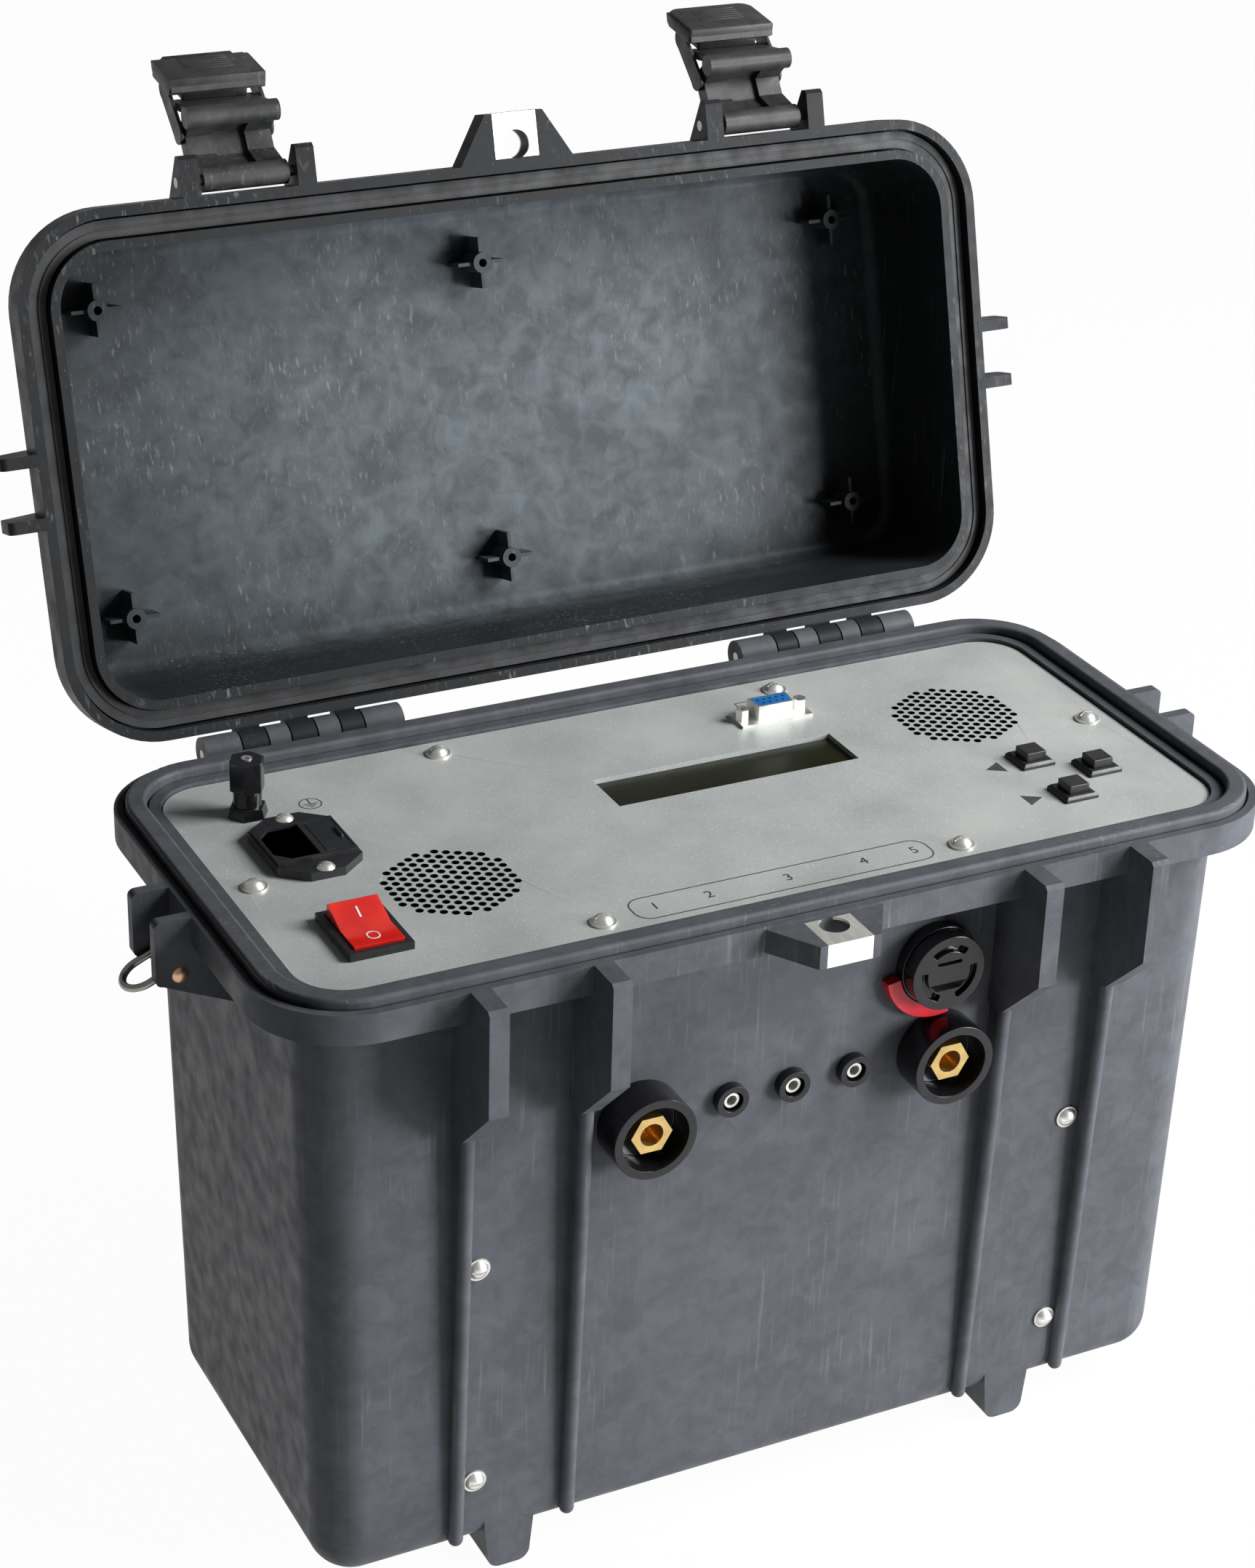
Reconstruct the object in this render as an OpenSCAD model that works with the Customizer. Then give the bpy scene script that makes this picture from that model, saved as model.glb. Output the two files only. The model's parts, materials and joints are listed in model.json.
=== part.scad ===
// Portable micro ohmmeter in a hard case: drafted tub, hinged lid with draw latches, metal front panel,
// front wall terminals, and the chassis inside. The lid stands open, as the instrument is used.

/* [Case rim] */
// Width over the rim flange
rim_w = 400; // [380:1:430]
// Depth over the rim flange
rim_d = 197; // [188:1:215]
// Corner radius of the rim flange
rim_r = 36; // [34:0.5:40]
// Height of the rim flange skirt
skirt_h = 11.5; // [9:0.5:14]
// Thickness of the rim flange skirt
skirt_t = 4; // [3:0.5:5]
// Overhang of the rim flange beyond the tub wall
rim_overhang = 15; // [14:0.5:16]
// Height of the sealing ridge over the rim
ridge_h = 3.5; // [2.5:0.5:4.5]
// Width of the sealing ridge
ridge_w = 7.5; // [6:0.5:8]

/* [Tub] */
// Depth of the tub below the rim
tub_depth = 251; // [235:1:280]
// Wall thickness of the moulded case
wall = 3.5; // [3:0.25:4]
// Radius of the tub's lower edge
tub_edge_r = 15; // [13:0.5:16]
// Height of the feet
foot_h = 11; // [8:1:16]
// Spacing of the feet across the width
foot_pitch = 216; // [180:2:240]

/* [Lid] */
// Height of the lid over the rim
lid_h = 60; // [52:1:75]
// Radius of the lid's top edge
lid_edge_r = 9; // [6:0.5:11]
// Height of the lid flange
lid_skirt_h = 13; // [11:0.5:15]
// Angle that the lid stands open
lid_open = 105.2; // [95:0.1:110]

/* [Hinge and latches] */
// Radius of a hinge barrel
barrel_r = 6.8; // [6.4:0.1:7.1]
// Diameter of every hinge and latch pin
pin_dia = 4; // [3:0.1:4.4]
// Distance of each latch from the middle
latch_x = 107.6; // [100:0.2:112]
// Width of a latch
latch_w = 36; // [32:0.5:36.6]

/* [Front panel] */
// Thickness of the panel sheet
panel_t = 2; // [1.5:0.5:3]
// Diameter of a ventilation hole
vent_hole_dia = 3; // [2:0.1:3.2]
// Pitch of the ventilation holes
vent_pitch = 4.2; // [4:0.1:5]
// Radius of the field of ventilation holes
vent_field_r = 25.3; // [21:0.1:26]
// Width of the display window
window_w = 101; // [90:1:106]
// Height of the display window
window_h = 23.2; // [18:0.2:26]
// Side of a push button cap
cap_w = 8.5; // [7:0.5:9.5]

/* [Terminals] */
// Diameter of a current terminal shroud
cup_dia = 32.5; // [28:0.5:36]
// Reach of a current terminal shroud from the wall
cup_reach = 14.6; // [11:0.2:18]
// Diameter of a signal socket
socket_dia = 12.8; // [11:0.2:16]
// Reach of a signal socket from the wall
socket_reach = 4; // [3:0.2:6]
// Diameter of the purge valve knob
valve_dia = 30; // [26:0.5:32]

/* [Handle and rings] */
// Distance between the carry handle's lugs
handle_w = 136; // [120:2:160]
// Radius of the carry handle grip
grip_r = 6.5; // [5:0.5:7]
// Diameter of the strap ring wire
ring_wire = 2.8; // [2:0.2:3.2]

/* [Hidden] */
$fn = 48;
over = 1;
pin_fit = 0.05;
seat_gap = 0.3;

// Corner centres, shared by every loop of the case
corner_x = rim_w / 2 - rim_r;
corner_y = rim_d / 2 - rim_r;
rim_z = tub_depth + foot_h;
wall_r = rim_r - rim_overhang;
tub_draft_share = 0.019;
ledge_w = 4.2;
groove_w = 1;
groove_d = 1.6;
ridge_r = rim_r - ledge_w - ridge_w / 2;
ridge_edge_r = 1.5;
lip_out_r = ridge_r - ridge_w / 2 - groove_w;
panel_gap = 0.6;
panel_r = wall_r - wall + seat_gap + panel_gap;
opening_r = panel_r + panel_gap;
panel_drop = 1.5;
seat_z = -panel_drop - panel_t;
seat_w = 9;
seat_t = 5;

// Lid section
lid_lip = 3.8;
lid_inner_lip = 3.6;
channel_d = ridge_h + 3.2;
channel_out_r = rim_r - lid_lip;
channel_in_r = lip_out_r + groove_w - 0.3 * groove_w;
lid_in_r = channel_in_r - lid_inner_lip;
lid_wall_r = lid_in_r + wall;
lid_draft_share = 0.03;
seal_w = ridge_w - 1;
seal_h = channel_d - ridge_h - seat_gap;

// Hinge
hinge_gap = 0.5;
hinge_y = rim_d / 2 + barrel_r + hinge_gap;
hinge_z = -2.1;
knuckle_gap = 0.6;
knuckle_end_x = 153;
knuckle_w = [14, 10, 8.4, 9.9, 9, 9, 15.8];
web_drop = 6;
lid_seat = 0.1;
lid_floor_t = 4;
lid_floor_r = 6;

// Latch posts, ears, claws and levers, in closed lid coordinates
post_w = 7.3;
post_gap = 37.7;
post_y = -rim_d / 2 - 15.1;
post_h = 41;
rib_y = -rim_d / 2 + 6.5;
rib_w = 5.6;
rib_up = 6;
rib_end = tub_depth - rib_up;
rib_low_reach = 3.8;
rib_waist = 0.25;
ear_tip = 4;
ear_root = 16;
claw_pivot = [-rim_d / 2 - 5.5, 6.5];
claw_elbow = claw_pivot + [-6.5, 12];
lever_pivot = claw_pivot + [-17, 15.5];
claw_bar = claw_pivot + [-22.5, 5.5];
claw_bar_r = 4;
claw_boss_r = 4.6;
claw_arm = 7;
claw_arm_w = 10.3;
claw_slot_w = 12.6;
claw_web = 3.4;
claw_lap = 4;
link_waist = 0.25;
lever_cheek_w = 1.4;
lever_cheek_r = 4.2;
lever_side_gap = 0.25;
pad_w = 36.5;
pad_low = [-rim_d / 2 - 36.9, 23];
pad_depth = 20;
pad_front_t = 4.1;
pad_back_t = 12.6;
trunnion_r = 1.6;
trunnion_in = 3;

// Hasp tabs and their clips
hasp_root_w = 47;
hasp_tip_w = 24;
hasp_reach = 18.5;
hasp_t = 9;
hasp_hole_dia = 11;
hasp_hole_y = -rim_d / 2 - 6.5;
clip_w = 18;
clip_t = 1;
clip_reach = 17;

// Side ears, their pins and the strap rings
ear_y = 11.65;
ear_t = 4.6;
ear_reach = 13.6;
ear_h = 25;
ear_slope_h = 38;
ear_edge_r = 2.5;
lid_ear_h = 13;
ring_pin_dia = 3;
ring_pin_x = rim_w / 2 + 4.7;
ring_pin_z = -21.6;
ring_head_dia = 6;
ring_head_t = 1.4;
ring_sleeve_r = 2.9;
ring_reach = 10;
ring_rest = 25;

// Feet and bosses
foot_w = 17;
foot_root_w = 21;
foot_len = 24;
foot_edge_r = 5;
panel_boss_dia = 9;
panel_boss_h = 34;
lid_boss_dia = 8;
lid_boss_hole = 3.3;
lid_boss_x = 157.7;
lid_boss_y = 58.8;
lid_boss_h = 12.4;
lid_boss_rib = 10;
lid_boss_rib_t = 1.4;
chassis_boss_dia = 12;

// Panel pieces
panel_screw_x = 72;
panel_screw_in = 9.9;
panel_side_in = 10.2;
panel_screws_at = concat([for (sy = [1, -1], sx = [-1, 1]) [sx * panel_screw_x, sy * (corner_y + panel_r - panel_screw_in)]],
    [for (sx = [-1, 1]) [sx * (corner_x + panel_r - panel_side_in), 0]]);
screw_dia = 4;
screw_head_dia = 7.6;
screw_head_h = 2.6;
screw_len = 16;
washer_dia = 9.4;
washer_t = 0.8;
vents_at = [[-108, -23.3], [126.3, 23.6]];
window_at = [22.4, 16.9];
window_t = 2;
window_lap = 3;
module_t = 9;
module_lap = 8;
buttons_at = [[132, -22.3], [132, -52], [152.3, -37.2]];
button_base_w = 14;
button_base_h = 2.2;
button_edge = 1;
cap_h = 3.2;
cap_travel = 0.8;
cap_gap = 0.25;
button_body_w = 12;
button_body_h = 8;
rocker_at = [-149.8, -46];
bezel_w = 23.5;
bezel_l = 32;
bezel_h = 3;
bezel_lip = 2.2;
rocker_gap = 0.35;
rocker_body_h = 18;
rocker_throw = 10;
rocker_end_h = 6.2;
rocker_mid_h = 3.9;
rocker_end_in = 0.6;
rocker_keel = 6;
rocker_keel_l = 12;
rocker_pivot_z = -1;
rocker_pin_in = 1.2;
rocker_cavity = 12;
rocker_pin_r = 1.6;
post_at = [-154.5, 53.2];
ground_skirt_af = 13.4;
ground_af = 11.6;
ground_flange_h = 4;
ground_neck_dia = 10.4;
ground_neck_h = 6;
ground_knob_h = 12;
ground_stud_dia = 4;
ground_stud_bore = 2.2;
ground_stud_over = 0.4;
inlet_at = [-146, 18.8];
inlet_w = 32;
inlet_l = 45.6;
inlet_side_l = 30;
inlet_tip_w = 13;
inlet_h = 3.3;
inlet_rise = 1.3;
inlet_screw_pitch = 40;
inlet_hole_l = 27;
inlet_hole_w = 30.4;
inlet_deep = 26;
inlet_socket_w = 15.8;
inlet_socket_l = 24;
inlet_socket_cut = 5;
inlet_socket_d = 16;
inlet_socket_dx = -6.5;
blade_w = 4;
blade_t = 2;
blade_l = 13;
blade_pitch = 7;
drawer_dx = 9;
drawer_w = 10.6;
drawer_l = 22;
drawer_d = 18;
drawer_gap = 0.25;
drawer_lug = 1;
data_at = [59.5, 51];
data_flange = [30.8, 12.5];
data_flange_t = 1.2;
data_shell = [16.9, 8.4];
data_shell_h = 6;
data_shell_t = 0.6;
data_slope_share = 0.12;
data_body = [19.2, 10.6];
data_body_h = 9;
data_screw_pitch = 25;
jack_af = 4.8;
jack_h = 4.4;
jack_bore = 2.6;
pin_rows = [5, 4];
data_pin_pitch = 2.77;
data_row_pitch = 2.84;
data_pin_hole = 1.1;

// Front wall pieces
cup_pitch = 121.6;
cups_shift = -0.9;
cups_x = [cups_shift - cup_pitch / 2, cups_shift + cup_pitch / 2];
terminal_z = -77.3;
cup_wall = 3.4;
cup_floor = 3;
cup_shank_dia = 19;
cup_shank_l = 14;
cup_nut_dia = 28;
cup_nut_t = 4;
nut_af = 14;
nut_h = 8;
nut_bore = 9;
nut_bore_l = 18;
nut_shank_dia = 13;
nut_tail = 12;
sockets_x = [-25.6, -0.6, 24.7];
socket_in_dia = 8;
socket_floor = 22;
socket_shank_dia = 9.6;
socket_nut_dia = 14;
socket_nut_t = 3;
sleeve_dia = 6;
sleeve_bore = 4;
sleeve_drop = 1.5;
valve_at = [56, -39];
valve_ring_dia = 43;
valve_ring_from = 190;
valve_ring_angle = 95;
valve_ring_h = 4.6;
valve_ring_t = 3;
valve_body_dia = 31.5;
valve_body_h = 5;
valve_knob_h = 6;
valve_neck_dia = 14;
valve_neck_l = 10;
valve_slot_w = 2.6;
valve_slot_r = 10.2;
valve_slot_d = 2.4;
valve_grip_w = 5;
front_screws_x = 122.6;
front_screw_up = 32.8;
front_screws_z = [-124.1, front_screw_up - tub_depth];
front_head_dia = 7.6;
front_head_h = 2.4;
front_washer_dia = 9;

// Inner pieces
chassis_side = 9;
chassis_y = corner_y + chassis_side;
chassis_w = 290;
chassis_t = 2;
chassis_lift = 23;
chassis_floor_z = chassis_lift - tub_depth;
chassis_top_z = -112;
fan_w = 50;
fan_h = 15;
fan_hub_r = 10;
fan_blades = 7;
fan_blade_t = 1.6;
fan_bore_r = 23.5;
fan_tip_gap = 1.2;
fan_pitch = 40;
fan_axle_r = 1.5;
toroid_r = 34;
toroid_bore_r = 14;
toroid_at = [-108, 0];
toroid_h = 38;
toroid_edge_r = 5;
clamp_t = 2;
clamp_dia = 44;
clamp_bolt_dia = 6;
supply_at = [12, 0];
supply_side_gap = 7.5;
supply_size = [164, 2 * (chassis_y - chassis_t - supply_side_gap), 1.6];
supply_lift = 8;
sink_size = [44, 70, 5];
sink_fins = 7;
sink_fin_t = 2;
sink_fin_h = 26;
sink_in = 20;
sink_at = [supply_size[0] / 2 - sink_in, 0];
capacitors_at = [[-20, -30], [-20, 0], [-20, 30], [6, -30], [6, 0], [6, 30]];
capacitor_dia = 22;
capacitor_h = 34;
board_size = [96, 60, 1.6];
board_drop = 26;
board_post_dia = 5;
busbar_w = 16;
busbar_t = 3;
busbar_foot = 12;
floor_boss_at = [110, 50];

// Carry handle
handle_pivot_d = lid_h + 8;
handle_lug_w = 8;
handle_lug_r = 6.5;
handle_arm_w = 7;
handle_side_gap = 0.4;
handle_reach = 32;

// Colours
case_black = "#2b2c2e";
panel_grey = "#c3c8c8";

// Where the case sits: the origin is under the middle of the open instrument's outline
function wall_out(z) = wall_r + tub_draft_share * z;
function wall_y(z) = corner_y + wall_out(z);
back_reach = hinge_y + (hinge_y + handle_reach) * -cos(lid_open)
    + (handle_pivot_d - hinge_z) * sin(lid_open) + grip_r;
front_reach = rim_d / 2 + hasp_reach;
case_y = (front_reach - back_reach) / 2;

// Frames
module case_frame() translate([0, case_y, rim_z]) children();

module lid_frame() case_frame()
    translate([0, hinge_y, hinge_z]) rotate([-lid_open, 0, 0]) translate([0, -hinge_y, -hinge_z]) children();

// On the panel's upper face
module panel_frame(at) case_frame() translate([at[0], at[1], -panel_drop]) children();

// On the front wall, with +Z straight out of the drafted face
module wall_frame(at) case_frame()
    translate([at[0], -wall_y(at[1]), at[1]]) rotate([90 + atan(tub_draft_share), 0, 0]) children();

// Side profiles drawn as (y, z) and drawn out along x
module along_x(x0, x1) translate([x0, 0, 0]) rotate([90, 0, 90]) linear_extrude(x1 - x0) children();

// Shared forms
module loop_sweep() {
    sides = [[1, 1, 2 * corner_y], [-1, 1, 2 * corner_x], [-1, -1, 2 * corner_y], [1, -1, 2 * corner_x]];
    for (k = [0:len(sides) - 1])
        translate([sides[k][0] * corner_x, sides[k][1] * corner_y, 0]) rotate([0, 0, k * 360 / len(sides)]) {
            rotate_extrude(angle = 360 / len(sides)) children();
            rotate([90, 0, 0]) linear_extrude(sides[k][2]) children();
        }
}

module core_block(z0, z1) translate([-corner_x, -corner_y, z0]) cube([2 * corner_x, 2 * corner_y, z1 - z0]);

module round_rect(size, r) {
    square([size[0] - 2 * r, size[1]], center = true);
    square([size[0], size[1] - 2 * r], center = true);
    for (sx = [-1, 1]) for (sy = [-1, 1]) translate([sx * (size[0] / 2 - r), sy * (size[1] / 2 - r)]) circle(r);
}

module round_plate(size, r, h) linear_extrude(h) round_rect(size, r);

module tube(r_out, r_in, h) difference() {
    cylinder(r = r_out, h = h);
    translate([0, 0, -over]) cylinder(r = r_in, h = h + 2 * over);
}

module hexagon(af) circle(d = af / cos(30), $fn = 6);

// A bar of one width through points, with round ends and elbows
module link(points, w) {
    for (p = points) translate(p) circle(d = w);
    for (i = [1:len(points) - 1]) {
        run = points[i] - points[i - 1];
        flat_w = w - 2 * link_waist;
        translate(points[i - 1]) rotate(atan2(run[1], run[0]))
            translate([0, -flat_w / 2]) square([norm(run), flat_w]);
    }
}

// Half section of a cup that opens at z = 0: drafted wall, round lower edge, floor at -depth
module cup_half(r_top, depth, edge_r, draft_share) {
    edge_z = edge_r - depth;
    lean = sqrt(1 + draft_share * draft_share);
    edge_x = r_top + draft_share * edge_z - edge_r * lean;
    tangent = [edge_x + edge_r / lean, edge_z - edge_r * draft_share / lean];
    difference() {
        union() {
            polygon([[0, -depth], [edge_x, -depth], [edge_x, edge_z], tangent, [r_top, 0], [0, 0]]);
            translate([edge_x, edge_z]) circle(edge_r);
        }
        translate([-edge_r, -depth - over]) square([edge_r, depth + 2 * over]);
    }
}

module dome(d, h) {
    ball_r = (d * d / 4 + h * h) / (2 * h);
    rotate_extrude() intersection() {
        translate([0, h - ball_r]) circle(ball_r);
        square([d / 2, h]);
    }
}

// A round head with a screwdriver slot over a shank that goes down
module slotted_screw(head_d, head_h, shank_d, shank_l) {
    difference() {
        dome(head_d, head_h);
        translate([-head_d, -head_h / 6, head_h / 2]) cube([2 * head_d, head_h / 3, head_h]);
    }
    translate([0, 0, -shank_l]) cylinder(d = shank_d, h = shank_l);
}

// Tub
module tub_section() {
    cup_half(wall_r, tub_depth, tub_edge_r, tub_draft_share);
    difference() {
        translate([wall_r - wall, -skirt_h]) square([rim_r - wall_r + wall, skirt_h]);
        translate([lip_out_r, -groove_d]) square([ridge_w + 2 * groove_w, groove_d + over]);
        translate([wall_r, -skirt_h - over]) square([rim_overhang - skirt_t, skirt_h - skirt_t + over]);
    }
    translate([ridge_r, (ridge_h - groove_d) / 2]) round_rect([ridge_w, ridge_h + groove_d], ridge_edge_r);
    translate([ridge_r - ridge_w / 2, -groove_d]) square([ridge_w, groove_d]);
}

module cavity_section() difference() {
    union() {
        cup_half(wall_r - wall, tub_depth - wall, tub_edge_r - wall, tub_draft_share);
        translate([0, seat_z]) square([opening_r, over - seat_z]);
    }
    translate([wall_r - seat_w, seat_z - seat_t]) square([seat_w, seat_t]);
}

// Latch post, a (y, z) profile with its shoulder
module post_profile() {
    shoulder = rib_y - post_y;
    skirt_y = -rim_d / 2 + skirt_t / 2;
    polygon([[-corner_y, -skirt_h], [skirt_y, -skirt_h], [skirt_y, 0], [post_y + ridge_edge_r, 0],
        [post_y, -ridge_edge_r], [post_y, -post_h], [rib_y, -post_h - shoulder],
        [-corner_y, -post_h - shoulder]]);
}

// The thin rib with a round front that runs down from a post and ends on the tub's round lower edge
module rib(x) {
    front_r = rib_w / 2;
    top = [rib_y + front_r, -post_h];
    low = [front_r - wall_y(-rib_end) - rib_low_reach, front_r - rib_end];
    run = norm(top - low);
    along_x(x - front_r + rib_waist, x + front_r - rib_waist)
        polygon([[-corner_y, top[1]], top, low, low + [rib_w, -front_r], [-corner_y, low[1] - front_r]]);
    translate([x, low[0], low[1]]) rotate([asin((low[0] - top[0]) / run), 0, 0]) {
        cylinder(r = front_r, h = run);
        mirror([0, 0, 1]) dome(rib_w, front_r);
    }
}

module latch_posts() {
    for (s = [-1, 1]) for (e = [-1, 1]) {
        x = s * latch_x + e * (post_gap + post_w) / 2;
        along_x(x - post_w / 2, x + post_w / 2) post_profile();
        rib(x);
    }
}

module feet() {
    root_h = foot_h + tub_edge_r;
    for (sx = [-1, 1]) for (sy = [-1, 1])
        translate([sx * foot_pitch / 2, sy * (wall_y(-tub_depth) - foot_len / 2), -rim_z])
            rotate([90, 0, 0]) translate([0, 0, -foot_len / 2]) linear_extrude(foot_len) {
                polygon([[foot_edge_r - foot_w / 2, 0], [foot_w / 2 - foot_edge_r, 0], [foot_w / 2, foot_edge_r],
                    [foot_root_w / 2, root_h], [-foot_root_w / 2, root_h], [-foot_w / 2, foot_edge_r]]);
                for (s = [-1, 1]) translate([s * (foot_w / 2 - foot_edge_r), foot_edge_r]) circle(foot_edge_r);
            }
}

// Hasp tab, cut through for a padlock
module hasp_plate(z0, t) difference() {
    root_y = -rim_d / 2 + skirt_t / 2;
    tip_y = -rim_d / 2 - hasp_reach;
    translate([0, 0, z0]) linear_extrude(t)
        polygon([[-hasp_root_w / 2, root_y], [-hasp_root_w / 2, -rim_d / 2], [-hasp_tip_w / 2, tip_y],
            [hasp_tip_w / 2, tip_y], [hasp_root_w / 2, -rim_d / 2], [hasp_root_w / 2, root_y]]);
    translate([0, hasp_hole_y, z0 - over]) cylinder(d = hasp_hole_dia, h = t + 2 * over);
    clip_seat(z0, t, clip_t);
}

// The room that a clip's two leaves take out of the tab's faces
module clip_seat(z0, t, leaf) {
    tip = rim_d / 2 + hasp_reach;
    for (z = [z0 - over, z0 + t - leaf])
        translate([-clip_w / 2, -tip - over, z]) cube([clip_w, clip_reach + over, leaf + over]);
    translate([-clip_w / 2, -tip - over, z0]) cube([clip_w, leaf + over, t]);
}

// A steel clip folded round the tip of a hasp tab, flush with its faces
module hasp_clip(z0, t) difference() {
    tip = rim_d / 2 + hasp_reach;
    translate([-clip_w / 2, -tip, z0]) cube([clip_w, clip_reach, t]);
    translate([-clip_w / 2 - over, -tip + clip_t, z0 + clip_t]) cube([clip_w + 2 * over, clip_reach, t - 2 * clip_t]);
    translate([0, hasp_hole_y, z0 - over]) cylinder(d = hasp_hole_dia, h = t + 2 * over);
}

// Strap ears beside the rim: a plate that slopes back to the wall below
module side_ears(reach_h, slope_h, root_x) {
    tip = rim_w / 2 + ear_reach;
    skirt_x = rim_w / 2 - skirt_t / 2;
    for (k = [0, 1]) for (sy = [-1, 1]) rotate([0, 0, 180 * k]) translate([0, sy * ear_y + ear_t / 2, 0])
        rotate([90, 0, 0]) linear_extrude(ear_t) {
            polygon([[skirt_x, 0], [tip - ear_edge_r, 0], [tip - ear_edge_r, -reach_h], [root_x, -slope_h],
                [root_x, -skirt_h + over], [skirt_x, -skirt_h + over]]);
            translate([tip - 2 * ear_edge_r, -reach_h + ear_edge_r])
                square([2 * ear_edge_r, reach_h - 2 * ear_edge_r]);
            for (z = [-ear_edge_r, ear_edge_r - reach_h]) translate([tip - ear_edge_r, z]) circle(ear_edge_r);
        }
}

// Hinge knuckles: even ones are the tub's, odd ones the lid's
function knuckle_x(i) = i == 0 ? knuckle_end_x : knuckle_x(i - 1) - knuckle_w[i - 1] - knuckle_gap;

module knuckles(first, web_z0, web_z1) {
    for (k = [0, 1]) for (i = [first:2:len(knuckle_w) - 1]) mirror([k, 0, 0])
        difference() {
            union() {
                translate([knuckle_x(i) - knuckle_w[i], hinge_y, hinge_z]) rotate([0, 90, 0])
                    cylinder(r = barrel_r, h = knuckle_w[i]);
                translate([knuckle_x(i) - knuckle_w[i], rim_d / 2 - skirt_t / 2, web_z0])
                    cube([knuckle_w[i], hinge_y - rim_d / 2 + skirt_t / 2, web_z1 - web_z0]);
            }
            translate([knuckle_x(i) - knuckle_w[i] - over, hinge_y, hinge_z]) rotate([0, 90, 0])
                cylinder(d = pin_dia + 2 * pin_fit, h = knuckle_w[i] + 2 * over);
        }
}

module panel_bosses() {
    for (p = panel_screws_at) {
        web = abs(p[1]) > abs(p[0]) / 2 ? [0, sign(p[1])] : [sign(p[0]), 0];
        translate([p[0], p[1], seat_z - panel_boss_h]) difference() {
            union() {
                cylinder(d = panel_boss_dia, h = panel_boss_h);
                translate([min(0, web[0] * panel_boss_dia) - (web[0] == 0 ? wall / 2 : 0),
                    min(0, web[1] * panel_boss_dia) - (web[1] == 0 ? wall / 2 : 0), 0])
                    cube([web[0] == 0 ? wall : panel_boss_dia, web[1] == 0 ? wall : panel_boss_dia,
                        panel_boss_h - seat_t]);
            }
            translate([0, 0, panel_boss_h - screw_len - over])
                cylinder(d = screw_dia + 2 * pin_fit, h = screw_len + 2 * over);
        }
    }
}

module chassis_bosses() {
    for (k = [0, 1]) rotate([0, 0, 180 * k]) for (s = [-1, 1]) for (z = front_screws_z)
        translate([s * front_screws_x, -chassis_y, z]) rotate([90, 0, 0])
            cylinder(d = chassis_boss_dia, h = wall_y(z) - wall / 2 - chassis_y);
    for (sx = [-1, 1]) for (sy = [-1, 1])
        translate([sx * floor_boss_at[0], sy * floor_boss_at[1], wall / 2 - tub_depth])
            cylinder(d = chassis_boss_dia, h = chassis_floor_z - wall / 2 + tub_depth);
}

// Everything that goes through the tub's walls
module wall_bores() {
    for (x = cups_x) wall_hole([x, terminal_z], cup_shank_dia);
    for (x = sockets_x) wall_hole([x, terminal_z], socket_shank_dia);
    wall_hole(valve_at, valve_neck_dia);
    for (k = [0, 1]) rotate([0, 0, 180 * k]) for (s = [-1, 1]) for (z = front_screws_z)
        translate([s * front_screws_x, -wall_y(z), z]) rotate([90 + atan(tub_draft_share), 0, 0])
            translate([0, 0, -screw_len]) cylinder(d = screw_dia + 2 * pin_fit, h = screw_len + over);
}

module wall_hole(at, d) translate([at[0], -wall_y(at[1]), at[1]]) rotate([90 + atan(tub_draft_share), 0, 0])
    translate([0, 0, -wall - over]) cylinder(d = d + 2 * seat_gap, h = wall + 2 * over);

module ring_pin_bores() for (s = [-1, 1]) translate([s * ring_pin_x, 0, ring_pin_z]) rotate([90, 0, 0])
    cylinder(d = ring_pin_dia + 2 * pin_fit, h = 2 * rim_r, center = true);

module tub() color(case_black) case_frame() difference() {
    union() {
        difference() {
            union() {
                loop_sweep() tub_section();
                core_block(-tub_depth, 0);
                latch_posts();
                feet();
                hasp_plate(-hasp_t - over, hasp_t);
                side_ears(ear_h, ear_slope_h, corner_x + wall_out(-ear_slope_h) - wall / 2);
                knuckles(0, hinge_z - web_drop, hinge_z);
            }
            loop_sweep() cavity_section();
            core_block(wall - tub_depth, over);
        }
        panel_bosses();
        chassis_bosses();
    }
    wall_bores();
    ring_pin_bores();
}

module hinge_pins() color("dimgray") case_frame() for (s = [-1, 1])
    translate([s * (knuckle_end_x + knuckle_x(len(knuckle_w) - 1) - knuckle_w[len(knuckle_w) - 1]) / 2,
        hinge_y, hinge_z]) rotate([0, 90, 0])
        cylinder(d = pin_dia, h = knuckle_end_x - knuckle_x(len(knuckle_w) - 1) + knuckle_w[len(knuckle_w) - 1],
            center = true);

module hasp_clip_base() color("silver") case_frame() hasp_clip(-hasp_t - over, hasp_t);

module ring_pins() color("peru") case_frame() for (s = [-1, 1])
    translate([s * ring_pin_x, 0, ring_pin_z]) rotate([90, 0, 0]) {
        reach = ear_y + ear_t / 2;
        cylinder(d = ring_pin_dia, h = 2 * reach, center = true);
        for (e = [0, 1]) rotate([180 * e, 0, 0]) translate([0, 0, reach]) dome(ring_head_dia, ring_head_t);
    }

// Purge valve
module valve_body() color("#303134") wall_frame(valve_at) difference() {
    union() {
        cylinder(d = valve_body_dia, h = valve_body_h);
        translate([0, 0, -valve_neck_l]) cylinder(d = valve_neck_dia, h = valve_neck_l);
        translate([0, 0, -wall - socket_nut_t]) cylinder(d = valve_neck_dia + 2 * wall, h = socket_nut_t);
    }
    translate([0, 0, -valve_neck_l - over])
        cylinder(d = pin_dia + 2 * pin_fit, h = valve_neck_l + valve_body_h + 2 * over);
}

// The part of the red collar that the recess leaves in sight
module valve_ring() color("crimson") wall_frame(valve_at) rotate([0, 0, valve_ring_from])
    rotate_extrude(angle = valve_ring_angle) translate([valve_body_dia / 2 + seat_gap, 0])
        square([valve_ring_dia / 2 - valve_body_dia / 2 - seat_gap, valve_ring_h]);

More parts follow.
